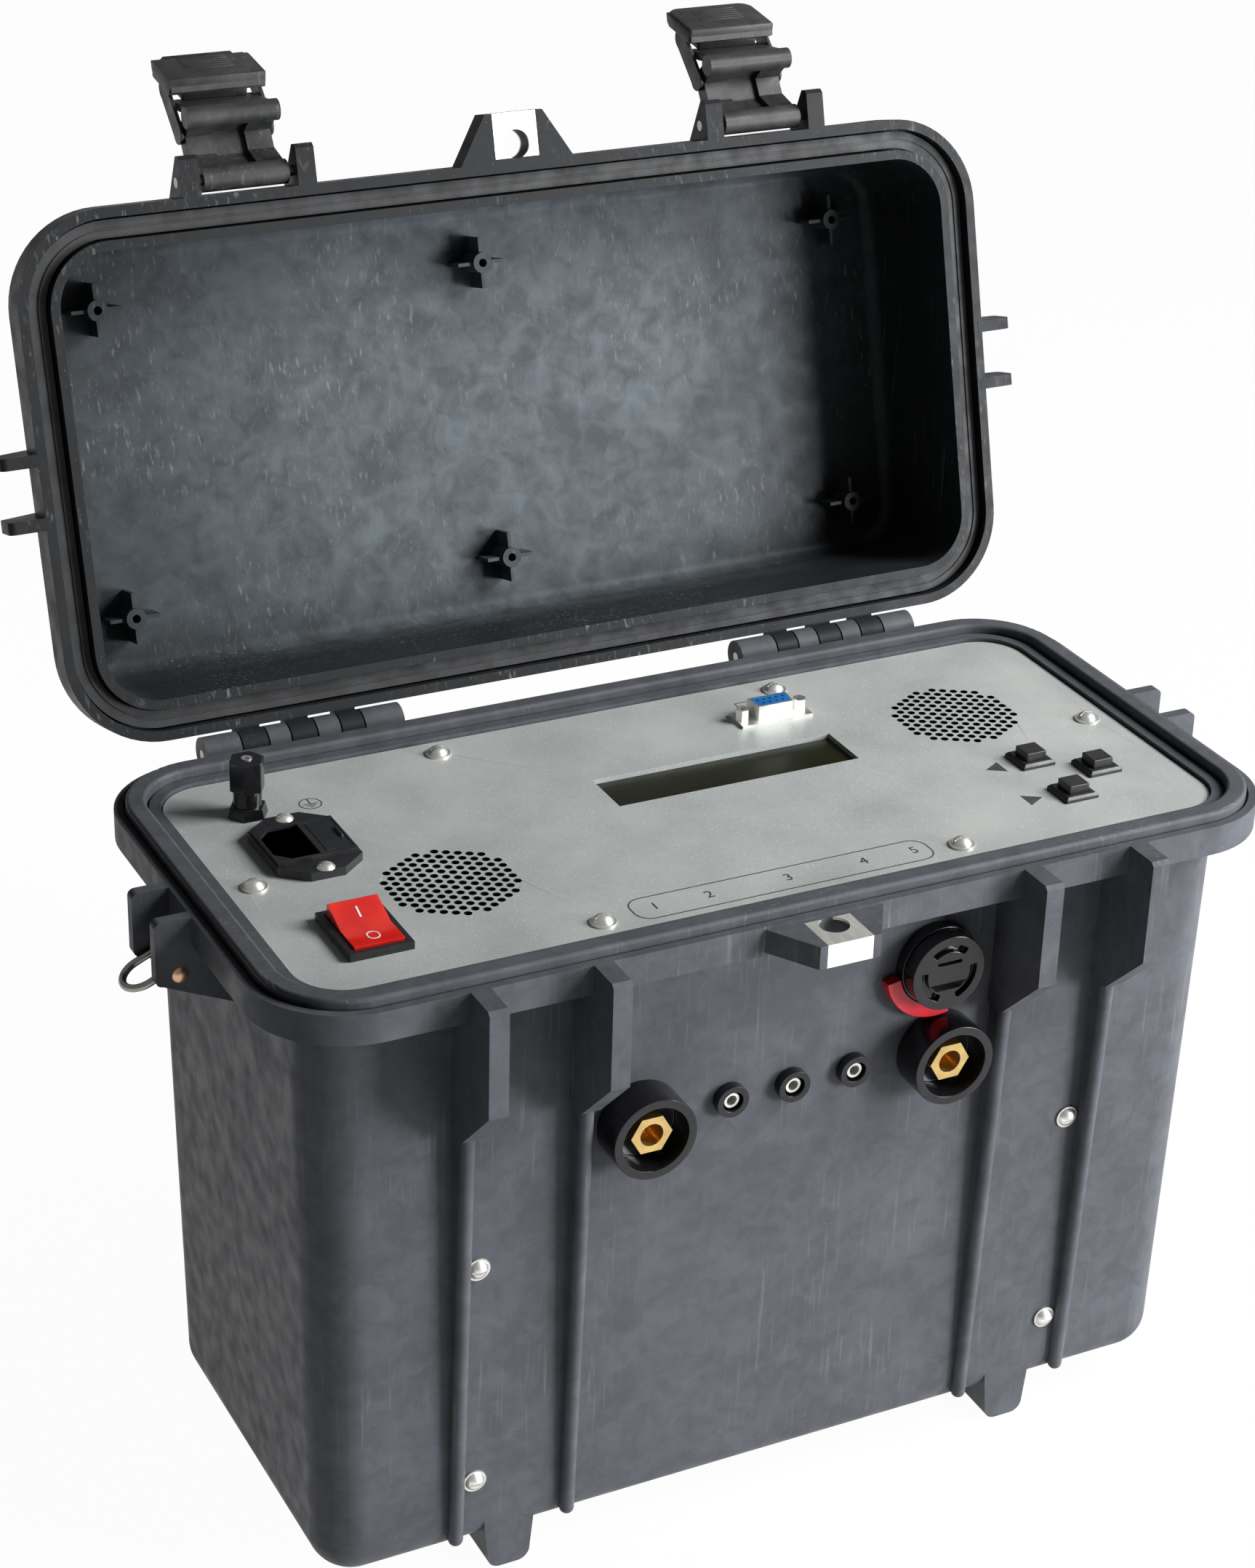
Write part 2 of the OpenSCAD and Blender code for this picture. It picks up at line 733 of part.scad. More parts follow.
module valve_knob() color("#26272a") wall_frame(valve_at) {
    translate([0, 0, valve_body_h + seat_gap]) difference() {
        cylinder(d = valve_dia, h = valve_knob_h);
        for (a = [0:120:240]) rotate([0, 0, a + 50]) rotate_extrude(angle = 80)
            translate([valve_slot_r - valve_slot_w / 2, valve_knob_h - valve_slot_d])
                square([valve_slot_w, valve_slot_d + over]);
        for (s = [-1, 1]) translate([0, s * valve_grip_w, valve_knob_h - valve_slot_d]) rotate([0, 0, 90])
            translate([-valve_slot_w / 2, -valve_grip_w, 0]) cube([valve_slot_w / 2, 2 * valve_grip_w, valve_slot_d + over]);
    }
    translate([0, 0, -valve_neck_l]) cylinder(d = pin_dia, h = valve_neck_l + valve_body_h + seat_gap + over);
}

// Front panel sheet with its openings and the studs under it
module panel_blank() loop_sweep() translate([0, -panel_t]) square([panel_r, panel_t]);

module vent_field(at) {
    rows = ceil(vent_field_r / vent_pitch) + 1;
    for (i = [-rows:rows]) for (j = [-rows:rows]) {
        p = [i * vent_pitch * sin(60), (j + (i % 2 == 0 ? 0 : 0.5)) * vent_pitch];
        if (norm(p) <= vent_field_r - vent_hole_dia / 2)
            translate([at[0] + p[0], at[1] + p[1], -panel_t - over])
                cylinder(d = vent_hole_dia, h = panel_t + 2 * over);
    }
}

module panel_cut(at, size) translate([at[0] - size[0] / 2, at[1] - size[1] / 2, -panel_t - over])
    cube([size[0], size[1], panel_t + 2 * over]);

module panel_bore(at, d) translate([at[0], at[1], -panel_t - over])
    cylinder(d = d + 2 * pin_fit, h = panel_t + 2 * over);

module panel() color(panel_grey) panel_frame([0, 0]) {
    difference() {
        union() {
            panel_blank();
            core_block(-panel_t, 0);
        }
        for (at = vents_at) vent_field(at);
        for (at = panel_screws_at) panel_bore(at, screw_dia);
        panel_cut(window_at, [window_w, window_h]);
        for (at = buttons_at) panel_cut(at, [button_body_w + 2 * seat_gap, button_body_w + 2 * seat_gap]);
        panel_cut(rocker_at, rocker_body() + [2, 2] * seat_gap);
        panel_cut(inlet_at, [inlet_hole_w + 2 * seat_gap, inlet_hole_l + 2 * seat_gap]);
        for (s = [-1, 1]) panel_bore(inlet_at + [0, s * inlet_screw_pitch / 2], screw_dia);
        panel_cut(data_at, data_body + [2, 2] * seat_gap);
        for (s = [-1, 1]) panel_bore(data_at + [s * data_screw_pitch / 2, 0], jack_bore + 1.4 * data_shell_t);
        panel_bore(post_at, ground_stud_dia + 2 * pin_fit);
    }
    for (sx = [-1, 1]) for (sy = [-1, 1])
        translate([board_at()[0] + sx * (board_size[0] / 2 - board_post_dia),
            board_at()[1] + sy * (board_size[1] / 2 - board_post_dia), -panel_t - board_drop])
            cylinder(d = board_post_dia, h = board_drop);
}

function board_at() = window_at;
function rocker_body() = [bezel_w, bezel_l] - [1, 1] * bezel_lip;
function rocker_window() = [bezel_w, bezel_l] - [2, 2] * bezel_lip;

module panel_screws() color("silver") for (at = panel_screws_at) panel_frame(at)
    translate([0, 0, washer_t]) slotted_screw(screw_head_dia, screw_head_h, screw_dia, screw_len);

module panel_washers() color("gainsboro") for (at = panel_screws_at) panel_frame(at)
    tube(washer_dia / 2, screw_dia / 2 + pin_fit, washer_t);

// Mains inlet with a fuse drawer
module inlet_outline() polygon([for (s = [[1, 1], [-1, 1], [-1, -1], [1, -1]], k = [0, 1])
    (k == 0) == (s[0] * s[1] > 0) ? [s[0] * inlet_w / 2, s[1] * inlet_side_l / 2]
        : [s[0] * inlet_tip_w / 2, s[1] * inlet_l / 2]]);

module inlet_socket() {
    w = inlet_socket_w;
    l = inlet_socket_l;
    cut = inlet_socket_cut;
    translate([inlet_socket_dx, 0]) polygon([[w / 2, -l / 2], [w / 2, l / 2], [cut - w / 2, l / 2],
        [-w / 2, l / 2 - cut], [-w / 2, cut - l / 2], [cut - w / 2, -l / 2]]);
}

module inlet_body() color("#1d1e20") panel_frame(inlet_at) difference() {
    union() {
        linear_extrude(inlet_h) inlet_outline();
        translate([0, 0, -inlet_deep]) linear_extrude(inlet_deep + inlet_h + inlet_rise)
            square([inlet_hole_w, inlet_hole_l], center = true);
    }
    translate([0, 0, inlet_h + inlet_rise - inlet_socket_d]) linear_extrude(inlet_socket_d + over) inlet_socket();
    translate([drawer_dx, 0, inlet_h + inlet_rise - drawer_d]) linear_extrude(drawer_d + over)
        square([drawer_w, drawer_l], center = true);
    for (s = [-1, 1]) translate([0, s * inlet_screw_pitch / 2, -over])
        cylinder(d = screw_dia + 2 * pin_fit, h = inlet_h + inlet_rise + 2 * over);
}

module inlet_blades() color("silver") panel_frame(inlet_at)
    for (p = [[-blade_t, blade_pitch], [-blade_t, -blade_pitch], [blade_t, 0]])
        translate([inlet_socket_dx + p[0] - blade_t / 2, p[1] - blade_w / 2, inlet_h + inlet_rise - inlet_socket_d])
            cube([blade_t, blade_w, blade_l]);

module inlet_screws() color("silver") for (s = [-1, 1])
    panel_frame(inlet_at + [0, s * inlet_screw_pitch / 2]) translate([0, 0, inlet_h])
        slotted_screw(screw_head_dia - washer_t, screw_head_h - washer_t, screw_dia, screw_len / 2);

module fuse_drawer() color("#232426") panel_frame(inlet_at + [drawer_dx, 0]) {
    translate([0, 0, inlet_h + inlet_rise - drawer_d + drawer_gap]) linear_extrude(drawer_d - drawer_gap)
        square([drawer_w - 2 * drawer_gap, drawer_l - 2 * drawer_gap], center = true);
    translate([drawer_w / 2 - 2 * drawer_lug, -drawer_l / 6, inlet_h + inlet_rise])
        cube([drawer_lug, drawer_l / 3, drawer_lug]);
}

// Mains rocker switch
module rocker_bezel() color("#202124") panel_frame(rocker_at) difference() {
    union() {
        linear_extrude(bezel_h) square([bezel_w, bezel_l], center = true);
        translate([0, 0, -rocker_body_h]) linear_extrude(rocker_body_h) square(rocker_body(), center = true);
    }
    translate([0, 0, -rocker_cavity]) linear_extrude(rocker_cavity + bezel_h + over)
        square(rocker_window(), center = true);
    translate([-bezel_w, 0, rocker_pivot_z]) rotate([0, 90, 0])
        cylinder(r = rocker_pin_r + pin_fit, h = 2 * bezel_w);
}

module rocker() color("red") panel_frame(rocker_at) translate([0, 0, rocker_pivot_z]) rotate([rocker_throw, 0, 0]) {
    w = rocker_window()[0] - 2 * rocker_gap;
    l = rocker_window()[1] / 2 - 2 * rocker_gap;
    along_x(-w / 2, w / 2) polygon([[-l, 0], [rocker_end_in - l, rocker_end_h - rocker_pivot_z],
        [0, rocker_mid_h - rocker_pivot_z], [l - rocker_end_in, rocker_end_h - rocker_pivot_z], [l, 0],
        [rocker_keel_l / 2, -rocker_keel], [-rocker_keel_l / 2, -rocker_keel]]);
    translate([-w / 2 - rocker_pin_in, 0, 0]) rotate([0, 90, 0])
        cylinder(r = rocker_pin_r, h = w + 2 * rocker_pin_in);
}

// Ground post: a hollow stud, a base with a six sided skirt, and a six sided knob
module ground_post_stud() color("silver") panel_frame(post_at) {
    top = ground_flange_h + ground_neck_h + seat_gap + ground_knob_h + ground_stud_over;
    low = panel_t + screw_len / 2;
    difference() {
        translate([0, 0, -low]) cylinder(d = ground_stud_dia, h = top + low);
        cylinder(d = ground_stud_bore, h = top + over);
    }
    translate([0, 0, -panel_t - ground_flange_h]) linear_extrude(ground_flange_h)
        hexagon(2 * ground_stud_dia);
}

module ground_post_base() color("#1c1d1f") panel_frame(post_at) difference() {
    union() {
        cylinder(d1 = ground_skirt_af / cos(30), d2 = ground_af / cos(30), h = ground_flange_h, $fn = 6);
        cylinder(d = ground_neck_dia, h = ground_flange_h + ground_neck_h);
    }
    translate([0, 0, -over]) cylinder(d = ground_stud_dia + 2 * pin_fit, h = ground_flange_h + ground_neck_h + 2 * over);
}

module ground_knob() color("#1c1d1f") panel_frame(post_at)
    translate([0, 0, ground_flange_h + ground_neck_h + seat_gap]) difference() {
        linear_extrude(ground_knob_h) hexagon(ground_af);
        translate([0, 0, -over]) cylinder(d = ground_stud_dia + 2 * pin_fit, h = ground_knob_h + 2 * over);
    }

// Data connector
module data_outline(grow) {
    w = data_shell[0] / 2 + grow;
    h = data_shell[1] / 2 + grow;
    slope = data_shell[1] * data_slope_share;
    polygon([[-w, h], [w, h], [w - slope, -h], [slope - w, -h]]);
}

module data_shell() color("silver") panel_frame(data_at) difference() {
    union() {
        linear_extrude(data_flange_t) square(data_flange, center = true);
        linear_extrude(data_flange_t + data_shell_h) data_outline(0);
    }
    translate([0, 0, -over]) linear_extrude(data_flange_t + data_shell_h + 2 * over) data_outline(-data_shell_t);
    for (s = [-1, 1]) translate([s * data_screw_pitch / 2, 0, -over])
        cylinder(d = jack_bore + 2 * pin_fit, h = data_flange_t + 2 * over);
}

module data_insert() color("royalblue") panel_frame(data_at) difference() {
    union() {
        linear_extrude(data_flange_t + data_shell_h) data_outline(-data_shell_t);
        translate([0, 0, -data_body_h]) linear_extrude(data_body_h) square(data_body, center = true);
    }
    for (r = [0, 1]) for (i = [0:pin_rows[r] - 1])
        translate([(i - (pin_rows[r] - 1) / 2) * data_pin_pitch, (0.5 - r) * data_row_pitch, data_flange_t])
            cylinder(d = data_pin_hole, h = data_shell_h + over);
}

module data_screws() color("gainsboro") for (s = [-1, 1]) panel_frame(data_at + [s * data_screw_pitch / 2, 0]) {
    translate([0, 0, data_flange_t]) difference() {
        linear_extrude(jack_h) hexagon(jack_af);
        translate([0, 0, data_shell_t]) cylinder(d = jack_bore, h = jack_h);
    }
    translate([0, 0, -panel_t - jack_h]) cylinder(d = jack_bore, h = panel_t + jack_h + data_flange_t);
}

// Display
module display_window() color("#23281f") panel_frame(window_at) translate([0, 0, -panel_t - window_t])
    linear_extrude(window_t) square([window_w + 2 * window_lap, window_h + 2 * window_lap], center = true);

module display_module() color("darkslategray") panel_frame(window_at)
    translate([0, 0, -panel_t - window_t - module_t]) linear_extrude(module_t)
        square([window_w + 2 * module_lap, window_h + 2 * module_lap], center = true);

// Push buttons
module button_bases() color("#2a2c30") for (at = buttons_at) panel_frame(at) difference() {
    union() {
        linear_extrude(button_base_h - button_edge) square(button_base_w, center = true);
        translate([0, 0, button_base_h - button_edge]) button_chamfer();
        translate([0, 0, -button_body_h]) linear_extrude(button_body_h) square(button_body_w, center = true);
    }
    translate([0, 0, -cap_travel - 2 * cap_gap - cap_h]) linear_extrude(button_body_h + cap_h)
        square(cap_w + 2 * cap_gap, center = true);
}

// A square frustum from two crossed trapezoids
module button_chamfer() {
    low = button_base_w / 2;
    top = low - button_edge;
    intersection() {
        rotate([90, 0, 0]) linear_extrude(2 * low, center = true)
            polygon([[-low, 0], [low, 0], [top, button_edge], [-top, button_edge]]);
        along_x(-low, low) polygon([[-low, 0], [low, 0], [top, button_edge], [-top, button_edge]]);
    }
}

module button_cap(at) color("#35373c") panel_frame(at) translate([0, 0, -cap_h])
    linear_extrude(2 * cap_h + button_base_h) square(cap_w, center = true);

module button_up() button_cap(buttons_at[0]);
module button_down() button_cap(buttons_at[1]);
module button_start() button_cap(buttons_at[2]);

// Fans under the ventilation fields
module fan_frame(at) color("#1f2022") panel_frame(at) translate([0, 0, -panel_t - fan_h]) {
    difference() {
        linear_extrude(fan_h) round_rect([fan_w, fan_w], fan_w / 2 - fan_pitch / 2);
        translate([0, 0, -over]) cylinder(r = fan_bore_r, h = fan_h + 2 * over);
        for (sx = [-1, 1]) for (sy = [-1, 1]) translate([sx * fan_pitch / 2, sy * fan_pitch / 2, -over])
            cylinder(d = screw_dia, h = fan_h + 2 * over);
    }
    cylinder(r = fan_hub_r, h = fan_blade_t);
    for (a = [30:120:270]) rotate([0, 0, a]) translate([0, -fan_axle_r, 0])
        cube([fan_bore_r + fan_blade_t / 2, 2 * fan_axle_r, fan_blade_t]);
    cylinder(r = fan_axle_r, h = fan_h - 2 * fan_blade_t - 2 * seat_gap);
}

module fan_rotor(at) color("#17181a") panel_frame(at)
    translate([0, 0, -panel_t - fan_h + fan_blade_t + seat_gap]) difference() {
        h = fan_h - 2 * fan_blade_t - 2 * seat_gap;
        union() {
            cylinder(r = fan_hub_r, h = h);
            intersection() {
                cylinder(r = fan_bore_r - fan_tip_gap, h = h);
                for (i = [0:fan_blades - 1]) rotate([0, 0, i * 360 / fan_blades])
                    translate([0, 0, h / 2]) rotate([50, 0, 0])
                        translate([fan_hub_r - fan_blade_t, -fan_blade_t / 2, -h])
                            cube([fan_bore_r, fan_blade_t, 2 * h]);
            }
        }
        translate([0, 0, -over]) cylinder(r = fan_axle_r + pin_fit, h = h - fan_blade_t + over);
    }

module fan_frame_left() fan_frame(vents_at[0]);
module fan_frame_right() fan_frame(vents_at[1]);
module fan_rotor_left() fan_rotor(vents_at[0]);
module fan_rotor_right() fan_rotor(vents_at[1]);

// Chassis tray and what stands on it
module chassis() color("lightsteelblue") case_frame() {
    difference() {
        translate([-chassis_w / 2, -chassis_y, chassis_floor_z])
            cube([chassis_w, 2 * chassis_y, chassis_top_z - chassis_floor_z]);
        translate([-chassis_w / 2 - over, chassis_t - chassis_y, chassis_floor_z + chassis_t])
            cube([chassis_w + 2 * over, 2 * (chassis_y - chassis_t), chassis_top_z - chassis_floor_z]);
        for (s = [-1, 1]) for (z = front_screws_z) translate([s * front_screws_x, 0, z]) rotate([90, 0, 0])
            cylinder(d = screw_dia + 2 * seat_gap, h = 2 * rim_d, center = true);
    }
    for (sx = [-1, 1]) for (sy = [-1, 1])
        translate([supply_at[0] + sx * (supply_size[0] / 2 - board_post_dia),
            supply_at[1] + sy * (supply_size[1] / 2 - board_post_dia), chassis_floor_z + chassis_t])
            cylinder(d = board_post_dia, h = supply_lift);
}

function supply_top() = chassis_floor_z + chassis_t + supply_lift + supply_size[2];

module supply_board() color("darkgreen") case_frame()
    translate([supply_at[0], supply_at[1], supply_top() - supply_size[2] / 2]) cube(supply_size, center = true);

module capacitors() color("navy") case_frame() for (p = capacitors_at)
    translate([p[0] + supply_at[0], p[1] + supply_at[1], supply_top()]) {
        cylinder(d = capacitor_dia, h = capacitor_h);
    }

module heat_sink() color("silver") case_frame() translate([supply_at[0] + sink_at[0], supply_at[1] + sink_at[1], supply_top()]) {
    translate([0, 0, sink_size[2] / 2]) cube(sink_size, center = true);
    for (i = [0:sink_fins - 1])
        translate([(i / (sink_fins - 1) - 0.5) * (sink_size[0] - sink_fin_t) - sink_fin_t / 2, -sink_size[1] / 2, 0])
            cube([sink_fin_t, sink_size[1], sink_size[2] + sink_fin_h]);
}

module transformer() color("#b8860b") case_frame()
    translate([toroid_at[0], toroid_at[1], chassis_floor_z + chassis_t]) rotate_extrude()
        translate([(toroid_r + toroid_bore_r) / 2, toroid_h / 2])
            round_rect([toroid_r - toroid_bore_r, toroid_h], toroid_edge_r);

module transformer_clamp() color("gainsboro") case_frame()
    translate([toroid_at[0], toroid_at[1], chassis_floor_z + chassis_t]) {
        cylinder(d = clamp_bolt_dia, h = toroid_h + clamp_t + clamp_bolt_dia);
        translate([0, 0, toroid_h]) cylinder(d = clamp_dia, h = clamp_t);
        translate([0, 0, toroid_h + clamp_t]) linear_extrude(clamp_bolt_dia / 2) hexagon(1.6 * clamp_bolt_dia);
    }

module control_board() color("darkgreen") panel_frame(board_at())
    translate([0, 0, -panel_t - board_drop - board_size[2] / 2]) cube(board_size, center = true);

// Current terminals: plastic shroud, brass hexagon socket, and the busbar behind
module terminal_cups() color("#202225") for (x = cups_x) wall_frame([x, terminal_z]) difference() {
    union() {
        cylinder(d = cup_dia, h = cup_reach);
        translate([0, 0, -cup_shank_l]) cylinder(d = cup_shank_dia, h = cup_shank_l);
        translate([0, 0, -wall - cup_nut_t]) linear_extrude(cup_nut_t) hexagon(cup_nut_dia);
    }
    translate([0, 0, cup_floor]) cylinder(d = cup_dia - 2 * cup_wall, h = cup_reach);
    translate([0, 0, -cup_shank_l - over]) cylinder(d = nut_shank_dia, h = cup_shank_l + cup_floor + 2 * over);
}

module terminal_nuts() color("gold") for (x = cups_x) wall_frame([x, terminal_z]) difference() {
    union() {
        translate([0, 0, cup_floor]) linear_extrude(nut_h) hexagon(nut_af);
        translate([0, 0, -cup_shank_l - nut_tail]) cylinder(d = nut_shank_dia, h = cup_shank_l + nut_tail + cup_floor);
    }
    translate([0, 0, cup_floor + nut_h - nut_bore_l]) cylinder(d = nut_bore, h = nut_bore_l + over);
}

function busbar_y() = -wall_y(terminal_z) + cup_shank_l + nut_tail + 2 * seat_gap;

module busbars() color("peru") case_frame() for (x = cups_x) {
    translate([x - busbar_w / 2, busbar_y(), supply_top()])
        cube([busbar_w, busbar_t, terminal_z + busbar_w / 2 - supply_top()]);
    translate([x - busbar_w / 2, busbar_y(), supply_top()]) cube([busbar_w, busbar_foot, busbar_t]);
}

// Signal sockets
module signal_sockets() color("#1e2023") for (x = sockets_x) wall_frame([x, terminal_z]) difference() {
    union() {
        cylinder(d = socket_dia, h = socket_reach);
        translate([0, 0, -socket_floor]) cylinder(d = socket_shank_dia, h = socket_floor);
        translate([0, 0, -wall - socket_nut_t]) linear_extrude(socket_nut_t) hexagon(socket_nut_dia);
    }
    translate([0, 0, socket_floor / 2 - socket_floor]) cylinder(d = socket_in_dia, h = socket_floor + socket_reach);
    translate([0, 0, -socket_floor - over]) cylinder(d = sleeve_dia, h = socket_floor + 2 * over);
}

module signal_sleeves() color("gold") for (x = sockets_x) wall_frame([x, terminal_z])
    translate([0, 0, -socket_floor]) difference() {
        cylinder(d = sleeve_dia, h = socket_floor + socket_reach - sleeve_drop);
        translate([0, 0, sleeve_drop]) cylinder(d = sleeve_bore, h = socket_floor + socket_reach);
    }

module wall_screws_at() for (k = [0, 1]) for (s = [-1, 1]) for (z = front_screws_z)
    case_frame() rotate([0, 0, 180 * k]) translate([s * front_screws_x, -wall_y(z), z])
        rotate([90 + atan(tub_draft_share), 0, 0]) children();

module front_screws() color("silver") wall_screws_at()
    translate([0, 0, washer_t]) slotted_screw(front_head_dia, front_head_h, screw_dia, screw_len + washer_t);

module front_washers() color("gainsboro") wall_screws_at()
    tube(front_washer_dia / 2, screw_dia / 2 + pin_fit, washer_t);

// Lid, drawn closed over the tub
module lid_section() difference() {
    union() {
        mirror([0, 1]) cup_half(lid_wall_r, lid_h, lid_edge_r, lid_draft_share);
        translate([0, lid_seat]) square([rim_r, lid_skirt_h - lid_seat]);
    }
    translate([0, -over]) square([rim_r + over, lid_seat + over]);
    translate([channel_in_r, -over]) square([channel_out_r - channel_in_r, channel_d + over]);
    translate([lid_wall_r + wall / 2, channel_d + wall])
        square([channel_out_r - lid_wall_r - wall / 2, lid_skirt_h]);
}

module lid_cavity_section()
    mirror([0, 1]) cup_half(lid_in_r, lid_h - lid_floor_t, lid_floor_r, lid_draft_share);

module latch_ear_profile() {
    skirt_y = skirt_t / 2 - rim_d / 2;
    wall_in = -corner_y - lid_wall_r + wall;
    polygon([[skirt_y, lid_seat], [post_y + ridge_edge_r, lid_seat], [post_y, ridge_edge_r],
        [post_y, ear_tip], [-rim_d / 2, ear_root], [wall_in, ear_root + lid_skirt_h / 2],
        [wall_in, lid_skirt_h - over], [skirt_y, lid_skirt_h - over]]);
}

module latch_ears() for (s = [-1, 1]) for (e = [-1, 1]) {
    x = s * latch_x + e * (post_gap + post_w) / 2;
    along_x(x - post_w / 2, x + post_w / 2) latch_ear_profile();
}

module handle_lugs() for (s = [-1, 1])
    along_x(s * handle_w / 2 - handle_lug_w / 2, s * handle_w / 2 + handle_lug_w / 2) {
        translate([0, handle_pivot_d]) circle(handle_lug_r);
        translate([-handle_lug_r, lid_h - lid_floor_t / 2])
            square([2 * handle_lug_r, handle_pivot_d - lid_h + lid_floor_t / 2]);
    }

module lid_bosses() for (x = [-1, 0, 1]) for (sy = [-1, 1])
    translate([x * lid_boss_x, sy * lid_boss_y, lid_h - lid_floor_t - lid_boss_h]) difference() {
        union() {
            cylinder(d = lid_boss_dia, h = lid_boss_h + lid_floor_t / 2);
            for (a = [0, 90]) rotate([0, 0, a]) translate([-lid_boss_rib, -lid_boss_rib_t / 2, lid_boss_rib_t])
                cube([2 * lid_boss_rib, lid_boss_rib_t, lid_boss_h - lid_boss_rib_t + lid_floor_t / 2]);
        }
        translate([0, 0, -over]) cylinder(d = lid_boss_hole, h = lid_boss_h);
    }

module lid_pin_bores() {
    for (s = [-1, 1]) translate([s * latch_x, claw_pivot[0], claw_pivot[1]]) rotate([0, 90, 0])
        cylinder(d = pin_dia + 2 * pin_fit, h = post_gap + 4 * post_w, center = true);
    translate([0, 0, handle_pivot_d]) rotate([0, 90, 0])
        cylinder(d = pin_dia + 2 * pin_fit, h = handle_w + 4 * handle_lug_w, center = true);
}

module lid() color(case_black) lid_frame() difference() {
    union() {
        difference() {
            union() {
                loop_sweep() lid_section();
                core_block(lid_seat, lid_h);
                mirror([0, 0, 1]) side_ears(lid_ear_h, ear_h, corner_x + lid_wall_r - wall);
                knuckles(1, 3 * lid_seat, hinge_z + web_drop);
                latch_ears();
                handle_lugs();
                hasp_plate(lid_seat, hasp_t);
            }
            loop_sweep() lid_cavity_section();
            core_block(-over, lid_h - lid_floor_t);
        }
        lid_bosses();
    }
    lid_pin_bores();
}

module lid_seal() color("#151617") lid_frame() loop_sweep() difference() {
    translate([ridge_r - seal_w / 2, channel_d - seal_h]) square([seal_w, seal_h]);
    translate([ridge_r - groove_w / 2, channel_d - seal_h - over]) square([groove_w, over + groove_w / 2]);
}

module hasp_clip_lid() color("silver") lid_frame() hasp_clip(lid_seat, hasp_t);

module latch_pins() color("dimgray") lid_frame() for (s = [-1, 1])
    translate([s * latch_x, claw_pivot[0], claw_pivot[1]]) rotate([0, 90, 0])
        cylinder(d = pin_dia, h = post_gap + 2 * post_w, center = true);

module handle_pins() color("dimgray") lid_frame() for (s = [-1, 1])
    translate([s * (handle_w / 2 - handle_arm_w / 2 - handle_side_gap / 2), 0, handle_pivot_d]) rotate([0, 90, 0])
        cylinder(d = pin_dia, h = handle_lug_w + handle_arm_w + handle_side_gap, center = true);

// Draw latch: the claw turns on its pin in the lid's ears, the lever on the claw
module latch_claw(s) color("#26272a") lid_frame() translate([s * latch_x, 0, 0]) difference() {
    union() {
        for (e = [-1, 1]) {
            x = e * (claw_slot_w + claw_arm_w) / 2;
            along_x(x - claw_arm_w / 2, x + claw_arm_w / 2) {
                translate(claw_pivot) circle(claw_boss_r);
                link([claw_pivot, claw_elbow, lever_pivot, claw_bar], claw_arm);
            }
        }
        along_x(-claw_slot_w / 2 - claw_lap, claw_slot_w / 2 + claw_lap) {
            link([claw_pivot, claw_elbow, lever_pivot, claw_bar], claw_web);
            translate(claw_pivot) circle(claw_boss_r);
        }
        along_x(-latch_w / 2, latch_w / 2) translate(claw_bar) circle(claw_bar_r);
    }
    translate([0, claw_pivot[0], claw_pivot[1]]) rotate([0, 90, 0])
        cylinder(d = pin_dia + 2 * pin_fit, h = 2 * latch_w, center = true);
    translate([0, lever_pivot[0], lever_pivot[1]]) rotate([0, 90, 0])
        cylinder(r = trunnion_r + pin_fit, h = 2 * latch_w, center = true);
}

// Lever: two cheeks outside the arms and the finger pad between their ends
module latch_lever(s) color("#2c2e31") lid_frame() translate([s * latch_x, 0, 0]) {
    arms_w = claw_slot_w + 2 * claw_arm_w;
    pad_mid = pad_low + [-pad_front_t / 2, pad_depth / 2];
    for (e = [0, 1]) mirror([e, 0, 0]) {
        along_x(arms_w / 2 + lever_side_gap, arms_w / 2 + lever_side_gap + lever_cheek_w)
            link([lever_pivot, pad_mid], 2 * lever_cheek_r);
        translate([arms_w / 2 - trunnion_in, lever_pivot[0], lever_pivot[1]]) rotate([0, 90, 0])
            cylinder(r = trunnion_r, h = trunnion_in + lever_side_gap + lever_cheek_w / 2);
    }
    along_x(-pad_w / 2, pad_w / 2) polygon([pad_low, pad_low + [-pad_front_t, 0],
        pad_low + [-pad_back_t, pad_depth], pad_low + [-pad_back_t + pad_front_t, pad_depth]]);
}

module latch_claw_left() latch_claw(-1);
module latch_claw_right() latch_claw(1);
module latch_lever_left() latch_lever(-1);
module latch_lever_right() latch_lever(1);

// Strap rings hang on their pins between the ears
module strap_ring(k) color("silver") case_frame() rotate([0, 0, 180 * k])
    translate([ring_pin_x, 0, ring_pin_z]) rotate([0, ring_rest, 0]) {
        half = ear_y - ear_t / 2 - seat_gap - ring_wire / 2;
        difference() {
            union() {
                rotate([90, 0, 0]) cylinder(r = ring_sleeve_r, h = 2 * half + ring_wire, center = true);
                for (s = [-1, 1]) translate([0, s * half, 0]) rotate([0, 90, 0])
                    cylinder(d = ring_wire, h = ring_reach);
            }
            rotate([90, 0, 0]) cylinder(d = ring_pin_dia + 2 * pin_fit, h = 4 * half, center = true);
        }
        translate([ring_reach, 0, 0]) rotate([0, 0, -90]) rotate_extrude(angle = 180)
            translate([half, 0]) circle(d = ring_wire);
    }

module strap_ring_left() strap_ring(1);
module strap_ring_right() strap_ring(0);

